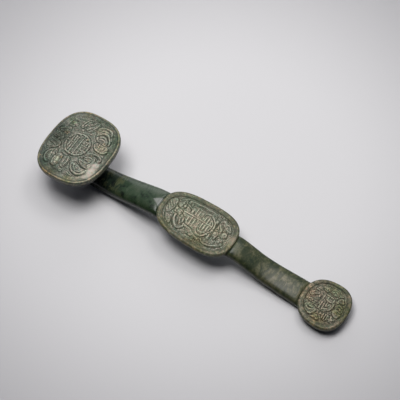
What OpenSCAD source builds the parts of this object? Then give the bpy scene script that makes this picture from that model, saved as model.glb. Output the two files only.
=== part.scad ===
// Jade ruyi scepter. A bent jade shaft carries three plaques, at its head, middle and tail.
// Each plaque is let into a seat cut in the shaft, lies on a bed of putty and is held by blind pegs.
// X runs from the head to the tail, Z is up, and the scepter rests on Z = 0 at its neck and tail.

/* [Layout] */
// Distance from the centre of the head plaque to the centre of the middle plaque
head_to_mid = 164; // [152:1:184]
// Distance from the centre of the middle plaque to the centre of the tail plaque
mid_to_tail = 170; // [156:1:190]
// Height of the head plaque's rim above the table
head_rise = 52.5; // [48:0.5:60]
// Height of the middle plaque's rim above the table
mid_rise = 35.5; // [32:0.5:40]
// Height of the tail plaque's rim above the table
tail_rise = 16; // [15:0.5:18]
// Lean of the head plaque away from the tail, in degrees
head_tilt = 5; // [0:0.5:8]
// Fall of the middle plaque towards the tail, in degrees
mid_tilt = 2; // [0:0.5:4]
// Fall of the tail plaque towards its end, in degrees
tail_tilt = 0.5; // [0:0.5:1.5]

/* [Head plaque] */
// Length along the scepter
head_len = 84; // [76:1:92]
// Width across the scepter
head_wid = 97; // [88:1:106]
// Squareness of the outline, where 2 is an ellipse
head_power = 2.75; // [2.4:0.05:3.4]
// Growth of the width towards the tail, as a share
head_taper = -0.027; // [-0.06:0.001:0]
// Thickness from the rim to the back
head_thick = 6; // [5.5:0.25:7.5]
// Width of the raised rim
head_rim = 2.6; // [2:0.1:4]
// Width of the smooth hollow inside the rim
head_cove = 7; // [5:0.5:9]
// Rise of the carved field from its edge to its centre
head_dome = 3.5; // [1.5:0.1:4]
// Diameter of the medallion
head_medal = 31; // [26:0.5:34]
// Place of the medallion's centre, from the plaque's centre towards the tail
head_medal_x = -3; // [-5:0.5:0]
// Number of bats round the medallion
head_bats = 5; // [4:1:6]
// Span of a bat's wings
head_span = 25; // [20:0.5:28]

/* [Middle plaque] */
// Length along the scepter
mid_len = 98; // [90:1:106]
// Width across the scepter
mid_wid = 60.5; // [54:0.5:66]
// Squareness of the outline, where 2 is an ellipse
mid_power = 2.9; // [2.5:0.05:3.5]
// Growth of the width towards the tail, as a share
mid_taper = 0.056; // [0:0.001:0.08]
// Thickness from the rim to the back
mid_thick = 5; // [4.5:0.25:6]
// Width of the raised rim
mid_rim = 4.4; // [3:0.1:6]
// Width of the smooth hollow inside the rim
mid_cove = 2.4; // [1.5:0.1:4]
// Rise of the carved field from its edge to its centre
mid_dome = 2.2; // [1:0.1:3]
// Diameter of the medallion
mid_medal = 30; // [24:0.5:34]
// Place of the medallion's centre, from the plaque's centre towards the tail
mid_medal_x = 3; // [0:0.5:5]
// Number of bats beside the medallion
mid_bats = 2; // [2:2:2]
// Span of a bat's wings
mid_span = 32; // [24:0.5:36]

/* [Tail plaque] */
// Length along the scepter
tail_len = 57.5; // [52:0.5:64]
// Width across the scepter
tail_wid = 59.5; // [54:0.5:66]
// Squareness of the outline, where 2 is an ellipse
tail_power = 2.45; // [2.2:0.05:3]
// Growth of the width towards the end, as a share
tail_taper = 0.056; // [0:0.001:0.08]
// Thickness from the rim to the back
tail_thick = 5; // [4.5:0.25:6]
// Width of the raised rim
tail_rim = 5; // [3:0.1:6]
// Width of the smooth hollow inside the rim
tail_cove = 2; // [1.5:0.1:4]
// Rise of the carved field from its edge to its centre
tail_dome = 2; // [1:0.1:3]
// Diameter of the medallion
tail_medal = 17; // [14:0.5:20]
// Place of the medallion's centre, from the plaque's centre towards the tail
tail_medal_x = 2; // [0:0.5:3]
// Number of bats round the medallion
tail_bats = 5; // [4:1:5]
// Span of a bat's wings
tail_span = 15; // [11:0.5:17]

/* [Relief] */
// Height of a rim above the groove inside it
rim_height = 1.2; // [0.8:0.1:1.6]
// Height of a medallion's disc above the top of its field
disc_rise = 0.3; // [0.2:0.1:0.6]
// Height of a medallion's fret, and of a bat, above what it stands on
carving_rise = 0.5; // [0.3:0.1:0.8]
// Round of a plaque's outer edge
edge_round = 1.2; // [0.6:0.1:1.8]
// Extra depth of the hollow inside a rim, as a share of the rim's height
hollow_dip = 0.35; // [0.1:0.05:0.6]
// Bevel round a plaque's back
back_bevel = 0.4; // [0.2:0.1:0.8]

/* [Shaft] */
// Width of the neck at its lowest point
neck_wid = 29; // [25:0.5:33]
// Thickness of the neck at its lowest point
neck_thick = 20; // [17:0.5:23]
// Extra width and thickness of the neck where it joins the head pad
neck_flare = 6; // [2:0.5:9]
// Reach of the neck's lowest point from the head plaque's centre
neck_reach = 25; // [22:0.5:30]
// Width of the shaft where it meets the middle plaque's head side
rise_wid = 35; // [30:0.5:40]
// Thickness of the shaft where it meets the middle plaque's head side
rise_thick = 14.5; // [12:0.5:17]
// Length of the shaft's level shoulder before the middle plaque
rise_shoulder = 12; // [8:0.5:16]
// Width of the shaft where it leaves the middle plaque's tail side
fall_wid = 29.5; // [26:0.5:34]
// Thickness of the shaft where it leaves the middle plaque's tail side
fall_thick = 14; // [12:0.5:16]
// Length of the shaft's level shoulder after the middle plaque
fall_shoulder = 13; // [9:0.5:16]
// Length of the steep stretch below that shoulder
fall_run = 18; // [12:0.5:24]
// Width of the shaft where it meets the tail plaque
root_wid = 34; // [30:0.5:38]
// Thickness of the shaft where it meets the tail plaque
root_thick = 14; // [12:0.5:15]
// Depth of the flats on which the scepter rests
rest_cut = 0.4; // [0.2:0.05:0.6]

/* [Pads] */
// Thickness of the head pad under its plaque
head_pad = 10; // [8:0.5:12]
// Thickness of the middle pad under its plaque
mid_pad = 7; // [6:0.5:9]
// How far the head pad's underside draws in, as a share of the plaque's length
head_draw = 0.4; // [0.3:0.01:0.42]
// How far the middle pad's underside draws in, as a share of the plaque's width
mid_draw = 0.4; // [0.3:0.01:0.42]
// How far the tail pad's underside draws in, as a share of the plaque's length
tail_draw = 0.35; // [0.2:0.01:0.4]
// Height of the upright wall round a pad
pad_wall = 2.5; // [1.5:0.1:3.5]
// Overhang of each plaque past the pad below it
overhang = 0.5; // [0.2:0.1:1]

/* [Fixing] */
// Thickness of the putty bed under a plaque
bed_thick = 0.4; // [0.3:0.05:0.8]
// Distance from a plaque's edge to the edge of its bed
bed_margin = 1.5; // [1:0.1:3]
// Gap round a plaque where it is let into the shaft
seat_gap = 0.2; // [0.1:0.05:0.4]
// Diameter of a peg
peg_dia = 3; // [2:0.1:4]
// Gap round a peg
peg_gap = 0.05; // [0.02:0.01:0.1]
// Depth of a peg's hole in a plaque
peg_up = 2.2; // [1.6:0.1:2.4]
// Depth of a peg's hole in the shaft
peg_down = 4; // [3:0.25:5]
// Distance between the head pegs along the scepter
head_peg_x = 38; // [30:1:44]
// Distance between the head pegs across the scepter
head_peg_y = 44; // [36:1:50]
// Distance between the middle plaque's two pegs
mid_peg_x = 58; // [40:1:66]
// Distance between the tail plaque's two pegs
tail_peg_x = 26; // [20:1:30]

/* [Hidden] */

// Points round a plaque's outline, the shaft's section, a peg, a medallion and a bat's curves
outline_sides = 60;
shaft_sides = 28;
peg_sides = 32;
medal_sides = 40;
bat_sides = 14;
// Rings in a long and a short stretch of the shaft, under a pad's curve, over a dome and round an edge
stretch_rings = 9;
short_rings = 4;
pad_rings = 6;
dome_rings = 4;
edge_rings = 3;
// How far a cut runs past the face that it starts from
cut_past = 1;

// Squareness of the shaft's section
shaft_power = 2.6;
// Step of a plaque's rim above the shaft where the two meet
rise_step = 1.2;
fall_step = 0.2;
root_step = 1.6;
// Slope of the shaft's centre line at those places and at the outer ends of its shoulders, in degrees
rise_slope = 3;
climb_slope = 15;
fall_slope = -6;
drop_slope = -21;
root_slope = -7;
// Length of a curve's handle as a share of its chord, and the longest stretch with few rings
handle_share = 0.34;
short_stretch = 22;
// Length of a peg's free space at each end of its hole
peg_end_gap = 0.3;
// Width of a fret's bars, and the place of its keys, as shares of the medallion
fret_bar = 0.065;
fret_key = 0.24;
// A bat's body, its head's size and place, its wings' size, and the size and place of the cut under one,
// as shares of its span
bat_body = [0.17, 0.46];
bat_head = [0.15, 0.2];
wing_dia = 0.46;
wing_cut = [0.4, 0.26, 0.17];
// How far the carving runs down into the dome and the hollow round it
carving_root = 2;

// Places of the three plaques, with the whole length centred on X = 0
whole_len = head_len / 2 + head_to_mid + mid_to_tail + tail_len / 2;
head_x = head_len / 2 - whole_len / 2;
mid_x = head_x + head_to_mid;
tail_x = mid_x + mid_to_tail;

// Each plaque as [length, width, squareness, taper, thickness, rim, cove, dome]
head_form = [head_len, head_wid, head_power, head_taper, head_thick, head_rim, head_cove, head_dome];
mid_form = [mid_len, mid_wid, mid_power, mid_taper, mid_thick, mid_rim, mid_cove, mid_dome];
tail_form = [tail_len, tail_wid, tail_power, tail_taper, tail_thick, tail_rim, tail_cove, tail_dome];

// Each plaque's carving as [medallion, its place along X, bats, span, direction of the first bat]
head_carving = [head_medal, head_medal_x, head_bats, head_span, 36];
mid_carving = [mid_medal, mid_medal_x, mid_bats, mid_span, 0];
tail_carving = [tail_medal, tail_medal_x, tail_bats, tail_span, 0];

// Where each plaque's pegs stand, in the plaque's own frame
head_pegs = [for (x = [-1, 1], y = [-1, 1]) [x * head_peg_x / 2, y * head_peg_y / 2]];
mid_pegs = [for (x = [-1, 1]) [x * mid_peg_x / 2, 0]];
tail_pegs = [for (x = [-1, 1]) [x * tail_peg_x / 2, 0]];

jade_dark = [0.17, 0.25, 0.19];
jade_pale = [0.42, 0.47, 0.39];
putty = [0.16, 0.12, 0.09];
copper = [0.62, 0.40, 0.24];

// Points and curves

function signed_power(v, p) = sign(v) * pow(abs(v), p);

// A squared oval whose width grows or shrinks along X, drawn inside its edge by inset
function outline(form, inset) = [
    for (i = [0 : outline_sides - 1])
        let (
            a = 360 * i / outline_sides,
            x = (form[0] / 2 - inset) * signed_power(cos(a), 2 / form[2]),
            y = (form[1] / 2 - inset) * signed_power(sin(a), 2 / form[2])
        )
        [x, y * (1 + form[3] * 2 * x / form[0])]
];

function level(form, inset, z) = [for (p = outline(form, inset)) [p[0], p[1], z]];

// Where the carved field starts inside the edge, how far it reaches, and its height and slope at a point
function groove_inset(form) = form[5] + rim_height / 2;
function field_inset(form) = groove_inset(form) + form[6];
function field_reach(form) = min(form[0], form[1]) / 2 - field_inset(form);
function dome_height(form, u) = -rim_height + form[7] * (1 - pow(1 - min(u, 1), 2));
function dome_slope(form, u) = atan(2 * form[7] * (1 - min(u, 1)) / field_reach(form));
function depth_share(form, p) =
    let (
        half = [form[0] / 2 - field_inset(form), form[1] / 2 - field_inset(form)],
        out = pow(pow(abs(p[0] / half[0]), form[2]) + pow(abs(p[1] / half[1]), form[2]), 1 / form[2])
    )
    (1 - out) * norm(p) / out / field_reach(form);

// A cubic curve from a to b, each [x, z, slope, width, thickness], and its direction
function handle(a, b) = handle_share * norm([b[0] - a[0], b[1] - a[1]]);
function controls(a, b) = let (h = handle(a, b)) [
    [a[0], a[1]],
    [a[0] + h * cos(a[2]), a[1] + h * sin(a[2])],
    [b[0] - h * cos(b[2]), b[1] - h * sin(b[2])],
    [b[0], b[1]]
];
function curve(c, u) =
    pow(1 - u, 3) * c[0] + 3 * u * pow(1 - u, 2) * c[1] + 3 * u * u * (1 - u) * c[2] + pow(u, 3) * c[3];
function heading(c, u) =
    let (d = pow(1 - u, 2) * (c[1] - c[0]) + 2 * u * (1 - u) * (c[2] - c[1]) + u * u * (c[3] - c[2]))
    d / norm(d);

// The shaft's section, square to its centre line
function section(at, along, wid, thick) = [
    for (i = [0 : shaft_sides - 1])
        let (
            a = 360 * i / shaft_sides,
            side = wid / 2 * signed_power(cos(a), 2 / shaft_power),
            up = thick / 2 * signed_power(sin(a), 2 / shaft_power)
        )
        [at[0] - along[1] * up, side, at[1] + along[0] * up]
];

// Points that the shaft's centre line passes, as [x, z, slope, width, thickness]
function end_drop(form, tilt) = sin(tilt) * form[0] / 2;
head_seat_z = head_rise - head_thick - bed_thick;
rise_top = mid_rise + end_drop(mid_form, mid_tilt) - rise_step - rise_thick / 2;
fall_top = mid_rise - end_drop(mid_form, mid_tilt) - fall_step - fall_thick / 2;
shoulder_foot = fall_top + fall_shoulder * tan((fall_slope + drop_slope) / 2);
stations = [
    [head_x, head_seat_z - pad_wall, -90, neck_wid + neck_flare, neck_thick + neck_flare],
    [head_x + neck_reach, neck_thick / 2 - rest_cut, 0, neck_wid, neck_thick],
    [
        mid_x - mid_len / 2 + seat_gap - rise_shoulder,
        rise_top - rise_shoulder * tan((rise_slope + climb_slope) / 2),
        climb_slope, rise_wid, rise_thick
    ],
    [mid_x - mid_len / 2 + seat_gap, rise_top, rise_slope, rise_wid, rise_thick],
    [
        mid_x, mid_rise - (rise_thick + fall_thick) / 4 + rise_step, -mid_tilt,
        (rise_wid + fall_wid) / 2, (rise_thick + fall_thick) / 2
    ],
    [mid_x + mid_len / 2 - seat_gap, fall_top, fall_slope, fall_wid, fall_thick],
    [
        mid_x + mid_len / 2 - seat_gap + fall_shoulder,
        shoulder_foot,
        drop_slope, fall_wid, fall_thick
    ],
    [
        mid_x + mid_len / 2 - seat_gap + fall_shoulder + fall_run,
        shoulder_foot + fall_run * tan(drop_slope),
        drop_slope, fall_wid, fall_thick
    ],
    [
        tail_x - tail_len / 2,
        tail_rise + end_drop(tail_form, tail_tilt) - root_step - root_thick / 2,
        root_slope, root_wid, root_thick
    ],
    [tail_x, root_thick / 2, 0, root_wid, root_thick - 2 * rest_cut]
];

// Shapes that several sub-parts share

module loft(rings) {
    n = len(rings[0]);
    last = (len(rings) - 1) * n;
    walls = [
        for (k = [0 : n : last - n], i = [0 : n - 1])
            let (a = k + i, b = k + (i + 1) % n)
            each [[a, a + n, b], [b, a + n, b + n]]
    ];
    bottom = [for (i = [0 : n - 1]) i];
    top = [for (i = [n - 1 : -1 : 0]) last + i];
    polyhedron(points = [for (r = rings) each r], faces = concat([bottom], walls, [top]));
}

module at_head() {
    translate([head_x, 0, head_rise]) rotate([0, -head_tilt, 0]) children();
}

module at_middle() {
    translate([mid_x, 0, mid_rise]) rotate([0, mid_tilt, 0]) children();
}

module at_tail() {
    translate([tail_x, 0, tail_rise]) rotate([0, tail_tilt, 0]) children();
}

// A plain key fret in a ring, and a bat with its head towards +Y and its wings spread along X
module fret(dia) {
    bar = dia * fret_bar;
    difference() {
        circle(d = dia, $fn = medal_sides);
        circle(d = dia - 2 * bar, $fn = medal_sides);
    }
    square([bar, dia - bar], center = true);
    square([dia - bar, bar], center = true);
    for (x = [-1, 1], y = [-1, 1]) {
        translate([x * dia * fret_key, y * dia * fret_key]) square([bar, dia * fret_key], center = true);
        translate([x * dia * fret_key * 3 / 4, y * dia * fret_key])
            square([dia * fret_key / 2, bar], center = true);
    }
}

module bat_shape(span) {
    scale([bat_body[0], bat_body[1]]) circle(d = span, $fn = bat_sides);
    translate([0, span * bat_head[1]]) circle(d = span * bat_head[0], $fn = bat_sides);
    for (x = [-1, 1])
        difference() {
            translate([x * span * (1 - wing_dia) / 2, 0]) circle(d = span * wing_dia, $fn = bat_sides);
            translate([x * span * wing_cut[1], -span * wing_cut[2]])
                circle(d = span * wing_cut[0], $fn = bat_sides);
        }
}

// A plaque's medallion and the bats round it, each lying on the slope of the dome
module carving(form, carved) {
    medal = carved[0];
    span = carved[3];
    half = [form[0] / 2 - field_inset(form), form[1] / 2 - field_inset(form)];
    crown = dome_height(form, 1);
    translate([carved[1], 0, crown - carving_root]) {
        cylinder(h = carving_root + disc_rise, d = medal, $fn = medal_sides);
        linear_extrude(carving_root + disc_rise + carving_rise) fret(medal);
    }
    for (k = [0 : carved[2] - 1]) {
        a = carved[4] + 360 * k / carved[2];
        place = [carved[1] / 2 + cos(a) * (medal / 2 + half[0]) / 2, sin(a) * (medal / 2 + half[1]) / 2];
        u = depth_share(form, place);
        translate([place[0], place[1], dome_height(form, u)])
            rotate([0, dome_slope(form, u), a])
                translate([0, 0, -carving_root])
                    linear_extrude(carving_root + carving_rise) rotate(90) bat_shape(span);
    }
}

// One plaque with its rim's top at Z = 0: back, rounded edge, rim, groove, hollow, dome and carving
module plaque(form, carved, pegs) {
    thick = form[4];
    groove = groove_inset(form);
    field = field_inset(form);
    reach = field_reach(form);
    edge = [
        for (k = [0 : edge_rings])
            let (a = 90 * k / edge_rings)
            [edge_round * (1 - cos(a)), -edge_round * (1 - sin(a))]
    ];
    hollow = [
        for (u = [0, 0.5, 1])
            [groove + form[6] * u, -rim_height * (1 + hollow_dip * sin(180 * u))]
    ];
    dome = [
        for (k = [1 : dome_rings])
            let (u = k / (dome_rings + 1))
            [field + reach * u, dome_height(form, u)]
    ];
    back = [[back_bevel, -thick], [0, back_bevel - thick]];
    inner_edge = [[form[5] - back_bevel, 0]];
    profile = concat(back, edge, inner_edge, hollow, dome);
    difference() {
        union() {
            loft([for (p = profile) level(form, p[0], p[1])]);
            carving(form, carved);
        }
        for (p = pegs)
            translate([p[0], p[1], -thick - cut_past])
                cylinder(h = peg_up + cut_past, d = peg_dia + 2 * peg_gap, $fn = peg_sides);
    }
}

// The bed of putty between a plaque and its seat
module bed(form, pegs) {
    translate([0, 0, -form[4] - bed_thick])
        difference() {
            linear_extrude(bed_thick) polygon(outline(form, bed_margin));
            for (p = pegs)
                translate([p[0], p[1], -cut_past])
                    cylinder(h = bed_thick + 2 * cut_past, d = peg_dia + 2 * peg_gap, $fn = peg_sides);
        }
}

module peg(form, place) {
    foot = -form[4] - bed_thick - peg_down + peg_end_gap;
    tip = -form[4] + peg_up - peg_end_gap;
    translate([place[0], place[1], foot]) cylinder(h = tip - foot, d = peg_dia, $fn = peg_sides);
}

// The cushion of jade that widens the shaft under a plaque, from its flat seat down
module pad(form, depth, draw_in) {
    curve_part = [
        for (k = [0 : pad_rings])
            let (a = 90 * k / pad_rings)
            [overhang + draw_in * (1 - sin(a)), -pad_wall - (depth - pad_wall) * cos(a)]
    ];
    translate([0, 0, -form[4] - bed_thick])
        loft([for (p = concat(curve_part, [[overhang, 0]])) level(form, p[0], p[1])]);
}

// What a seat takes out of the shaft: room for the plaque, and the holes for its pegs
module seat(form, pegs) {
    floor_z = -form[4] - bed_thick;
    translate([0, 0, floor_z])
        linear_extrude(-floor_z + rise_thick) polygon(outline(form, -seat_gap));
    for (p = pegs)
        translate([p[0], p[1], floor_z - peg_down])
            cylinder(h = peg_down + cut_past, d = peg_dia + 2 * peg_gap, $fn = peg_sides);
}

// The bent bar of the shaft, through all its stations
module bar() {
    rings = [
        for (s = [0 : len(stations) - 2])
            let (
                a = stations[s],
                b = stations[s + 1],
                c = controls(a, b),
                count = b[0] - a[0] < short_stretch ? short_rings : stretch_rings
            )
            for (k = [(s == 0 ? 0 : 1) : count])
                let (u = k / count)
                section(curve(c, u), heading(c, u), a[3] + (b[3] - a[3]) * u, a[4] + (b[4] - a[4]) * u)
    ];
    loft(rings);
}

// Sub-parts

module shaft() {
    tail_pad = tail_rise - tail_thick - bed_thick + rest_cut;
    color(jade_dark)
        difference() {
            union() {
                bar();
                at_head() pad(head_form, head_pad, head_len * head_draw);
                at_middle() pad(mid_form, mid_pad, mid_wid * mid_draw);
                at_tail() pad(tail_form, tail_pad, tail_len * tail_draw);
            }
            at_head() seat(head_form, head_pegs);
            at_middle() seat(mid_form, mid_pegs);
            at_tail() seat(tail_form, tail_pegs);
            translate([-whole_len, -head_wid, -neck_thick]) cube([2 * whole_len, 2 * head_wid, neck_thick]);
        }
}

module head_plaque() {
    color(jade_pale) at_head() plaque(head_form, head_carving, head_pegs);
}

module middle_plaque() {
    color(jade_pale) at_middle() plaque(mid_form, mid_carving, mid_pegs);
}

module tail_plaque() {
    color(jade_pale) at_tail() plaque(tail_form, tail_carving, tail_pegs);
}

module head_bed() {
    color(putty) at_head() bed(head_form, head_pegs);
}

module middle_bed() {
    color(putty) at_middle() bed(mid_form, mid_pegs);
}

module tail_bed() {
    color(putty) at_tail() bed(tail_form, tail_pegs);
}

module head_peg(i) {
    color(copper) at_head() peg(head_form, head_pegs[i]);
}

module middle_peg(i) {
    color(copper) at_middle() peg(mid_form, mid_pegs[i]);
}

module tail_peg(i) {
    color(copper) at_tail() peg(tail_form, tail_pegs[i]);
}

shaft();
head_plaque();
middle_plaque();
tail_plaque();
head_bed();
middle_bed();
tail_bed();
head_peg(0);  // head_peg_1
head_peg(1);  // head_peg_2
head_peg(2);  // head_peg_3
head_peg(3);  // head_peg_4
middle_peg(0);  // middle_peg_1
middle_peg(1);  // middle_peg_2
tail_peg(0);  // tail_peg_1
tail_peg(1);  // tail_peg_2
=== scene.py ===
import math

import bpy
import numpy as np
from mathutils import Matrix, Vector


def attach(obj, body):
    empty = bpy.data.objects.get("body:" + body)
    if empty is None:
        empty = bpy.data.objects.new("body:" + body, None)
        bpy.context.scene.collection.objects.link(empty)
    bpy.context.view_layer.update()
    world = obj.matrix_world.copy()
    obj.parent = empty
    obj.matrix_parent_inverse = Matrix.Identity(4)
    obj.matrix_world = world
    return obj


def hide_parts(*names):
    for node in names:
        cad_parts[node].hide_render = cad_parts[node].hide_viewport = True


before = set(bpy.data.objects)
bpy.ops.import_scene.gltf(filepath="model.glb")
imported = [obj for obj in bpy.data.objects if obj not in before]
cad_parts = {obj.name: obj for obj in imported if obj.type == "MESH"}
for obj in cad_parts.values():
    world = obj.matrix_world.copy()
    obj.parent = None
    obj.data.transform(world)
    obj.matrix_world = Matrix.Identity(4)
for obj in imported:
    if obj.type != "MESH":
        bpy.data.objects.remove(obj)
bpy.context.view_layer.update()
print("frame loaded,", len(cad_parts), "nodes")

mm = 0.001

# studio

camera = {
    "azimuth": 33.11,  # degrees round from straight ahead, as the photo was taken
    "elevation": 60.86,
    "distance": 1.7,
    "aim": (-0.0207, 0.0422, 0.0),
    "lens": 129.9,  # mm
    "sensor": 36,  # mm wide
    "farthest": 50,  # metres
}

floorSheet = {
    "size": 6.0,
    "centre": (-0.02, 0.075),
    "near": (0.560, 0.555, 0.570),  # under the object, where a pool of light is painted
    "far": (0.280, 0.275, 0.290),  # away from it, darker where the painted light falls off
    "reach": (0.14, 0.50),
    "rough": 0.85,
}

lamps = {
    "overhead": {"place": (-0.18, 0.28, 1.4), "size": (1.3, 1.15), "power": 10.5, "tint": (1.0, 0.995, 0.99)},
    "key": {"place": (-0.26, -0.06, 1.4), "size": (0.6, 0.6), "power": 12.4, "tint": (1.0, 0.99, 0.98)},
    "glint": {"place": (0.08, 0.66, 1.4), "size": (0.4, 0.4), "power": 3.2, "tint": (1.0, 0.98, 0.95)},
    "lowLeft": {"place": (-0.85, 1.10, 0.7), "size": (0.9, 0.7), "power": 3.2, "tint": (1.0, 1.0, 1.0)},
}

sky = {
    "front": (0.026, 0.028, 0.034),  # unlit room in front and at the sides
    "back": (0.30, 0.31, 0.33),  # paper that sweeps up behind the object
    "turn": (0.15, 0.75),
}


def addCamera(view):
    around, up = math.radians(view["azimuth"]), math.radians(view["elevation"])
    back = Vector((math.sin(around) * math.cos(up), -math.cos(around) * math.cos(up), math.sin(up)))
    data = bpy.data.cameras.new("camera")
    data.lens = view["lens"]
    data.sensor_width = view["sensor"]
    data.clip_end = view["farthest"]
    eye = bpy.data.objects.new("camera", data)
    eye.location = Vector(view["aim"]) + back * view["distance"]
    eye.rotation_euler = back.to_track_quat("Z", "Y").to_euler()
    bpy.context.scene.collection.objects.link(eye)
    bpy.context.scene.camera = eye


def addLamp(name, light):  # turned to shine at the origin
    data = bpy.data.lights.new(name, "AREA")
    data.shape = "RECTANGLE"
    data.size, data.size_y = light["size"]
    data.energy = light["power"]
    data.color = light["tint"]
    lamp = bpy.data.objects.new(name, data)
    lamp.location = light["place"]
    lamp.rotation_euler = Vector(light["place"]).to_track_quat("Z", "Y").to_euler()
    bpy.context.scene.collection.objects.link(lamp)


def soft(share):  # from 0 to 1, slow at both ends
    share = np.clip(share, 0, 1)
    return share * share * (3 - 2 * share)


def bell(place, middle, width):
    return np.exp(-(((place - middle) / width) ** 2))


def deselect():
    if bpy.context.object and bpy.context.object.mode != "OBJECT":
        bpy.ops.object.mode_set(mode="OBJECT")
    bpy.ops.object.select_all(action="DESELECT")


def newMaterial(name):
    material = bpy.data.materials.new(name)
    material.use_nodes = True
    return material, material.node_tree, material.node_tree.nodes["Principled BSDF"]


def addNode(tree, kind, inputs=None, **settings):
    node = tree.nodes.new(kind)
    for key, value in settings.items():
        setattr(node, key, value)
    for key, value in (inputs or {}).items():
        if isinstance(value, bpy.types.NodeSocket):
            tree.links.new(value, node.inputs[key])
        else:
            node.inputs[key].default_value = value
    return node


def ramp(tree, source, places, tones):  # a tone is a colour or a grey
    node = addNode(tree, "ShaderNodeValToRGB", {"Fac": source})
    stops = node.color_ramp.elements
    while len(stops) < len(places):
        stops.new(0.5)
    for stop, place, tone in zip(stops, places, tones):
        stop.position = place
        stop.color = (*tone, 1) if isinstance(tone, tuple) else (tone, tone, tone, 1)
    return node.outputs["Color"]


def mix(tree, share, first, second, blend="MIX"):
    node = addNode(tree, "ShaderNodeMix", data_type="RGBA", blend_type=blend)
    for socket, value in ((0, share), (6, first), (7, second)):  # 6 and 7 are its colours
        if isinstance(value, bpy.types.NodeSocket):
            tree.links.new(value, node.inputs[socket])
        elif socket and len(value) == 3:
            node.inputs[socket].default_value = (*value, 1)
        else:
            node.inputs[socket].default_value = value
    return node.outputs[2]


def noise(tree, where, grain, output="Fac"):  # a grain is a scale, a detail, a roughness and a distortion
    scale, detail, rough, warp = grain
    inputs = {"Vector": where, "Scale": scale, "Detail": detail, "Roughness": rough, "Distortion": warp}
    return addNode(tree, "ShaderNodeTexNoise", inputs).outputs[output]


def sums(tree, kind, first, second=0.0, third=0.0, clamp=False):
    inputs = {0: first, 1: second, 2: third}
    return addNode(tree, "ShaderNodeMath", inputs, operation=kind, use_clamp=clamp).outputs[0]


def vectors(tree, kind, first, second, output="Vector"):
    return addNode(tree, "ShaderNodeVectorMath", {0: first, 1: second}, operation=kind).outputs[output]


def rise(tree, source, low, high, kind="SMOOTHSTEP"):  # 0 at the first value and 1 at the second
    inputs = {"Value": source, "From Min": low, "From Max": high}
    return addNode(tree, "ShaderNodeMapRange", inputs, interpolation_type=kind).outputs[0]


def between(tree, share, low, high):
    return sums(tree, "MULTIPLY_ADD", share, high - low, low)


def addFloor(sheet):
    deselect()
    bpy.ops.mesh.primitive_plane_add(size=sheet["size"])
    plane = bpy.context.active_object
    plane.name = "floor"
    paper, tree, shader = newMaterial("paper")
    where = addNode(tree, "ShaderNodeTexCoord").outputs["Object"]
    # painted pool of light: the paper is lighter near the object and darker away from it
    away = vectors(tree, "DISTANCE", where, (*sheet["centre"], 0), "Value")
    share = rise(tree, away, *sheet["reach"])
    tree.links.new(mix(tree, share, sheet["near"], sheet["far"]), shader.inputs["Base Color"])
    shader.inputs["Roughness"].default_value = sheet["rough"]
    plane.data.materials.append(paper)
    return plane


def addSky(room):
    world = bpy.data.worlds.new("studio")
    bpy.context.scene.world = world
    world.use_nodes = True
    tree = world.node_tree
    view = addNode(tree, "ShaderNodeTexCoord").outputs["Generated"]
    toSky = addNode(tree, "ShaderNodeSeparateXYZ", {0: view})
    behind = rise(tree, toSky.outputs["Y"], *room["turn"])
    tree.links.new(mix(tree, behind, room["front"], room["back"]), tree.nodes["Background"].inputs["Color"])


addCamera(camera)
bpy.context.scene.view_settings.view_transform = "Standard"
floor = addFloor(floorSheet)
addSky(sky)
for name, light in lamps.items():
    addLamp(name, light)
print("studio ready")

# jade, putty and copper

darkJade = {
    "black": (0.0050, 0.0085, 0.0070),
    "green": (0.026, 0.046, 0.026),
    "mist": (0.047, 0.064, 0.041),
    # the tone of the painted sheen along the far edge of the green stone
    "paintedSheen": (0.100, 0.117, 0.092),
    "olive": (0.058, 0.066, 0.030),
    "brown": (0.118, 0.110, 0.064),
    "moss": (0.014, 0.024, 0.012),
    # sand, in the middle of the olive stone: its paler patches and painted sheen
    "sand": (0.172, 0.160, 0.116),
    # painted reflection on the flat cut before the middle plaque
    "facet": (0.170, 0.178, 0.165),
    "neck": (-0.128, -0.086),  # where the stone turns from black to green, along the scepter
    "tail": (0.015, 0.065),  # where it turns from green to olive
    "pale": (0.080, 0.120),  # and from olive to sand in the middle of its width, the stone's paler patches with painted sheen on them
    "paleWidth": (0.015, 0.004),
    "paleMiddle": -0.003,
    "sheenToFarEdge": (0.004, 0.016),  # painted sheen: the green stone is made lighter towards its far edge
    "shade": (-0.003, -0.019),  # painted shade: all of it is darker towards the near edge
    "shadeTint": (0.42, 0.44, 0.32),
    "rim": (0.0105, 0.0165),  # painted shade: the olive stone is darker towards the far one too
    "farShadeTint": (0.42, 0.48, 0.38),
    "veins": (-0.106, 0.026),  # middle and reach of the veins before the middle plaque
    "waver": (30.0, 4.0, 0.6, 0.0),
    "waverBy": 0.11,  # metres that the borders along the scepter waver, all told
    "cloud": (70.0, 7.0, 0.72, 0.4),
    "patch": (95.0, 7.0, 0.72, 0.6),
    "streak": (170.0, 5.0, 0.68, 0.9),  # fine streaks that run across the shaft
    "streakTurn": (0, 0, 0.7),  # radians
    "streakStretch": (1.0, 0.32, 1.0),
    "greenStops": (0.36, 0.50, 0.66),
    "veinStops": (0.50, 0.60),
    "oliveStops": (0.40, 0.50, 0.62),
    "sandStops": (0.38, 0.50, 0.66),
    "mossStops": (0.44, 0.54),
    "mossShares": (0.7, 0.0),
    "facetShare": 0.45,
    "gloss": (0.20, 0.30),  # in the black stone and in the olive
    "glossStreak": 0.14,
    "shine": 0.30,
    "ior": 1.5,
    "bump": (0.2, 1.0),  # in the black stone and in the olive
    "bumpStrength": 0.40,
    "bumpDepth": 0.8,  # mm
}


def addBump(tree, shader, height, strength, depth):
    bump = addNode(tree, "ShaderNodeBump", {"Height": height, "Strength": strength, "Distance": depth * mm})
    tree.links.new(bump.outputs[0], shader.inputs["Normal"])


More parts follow.
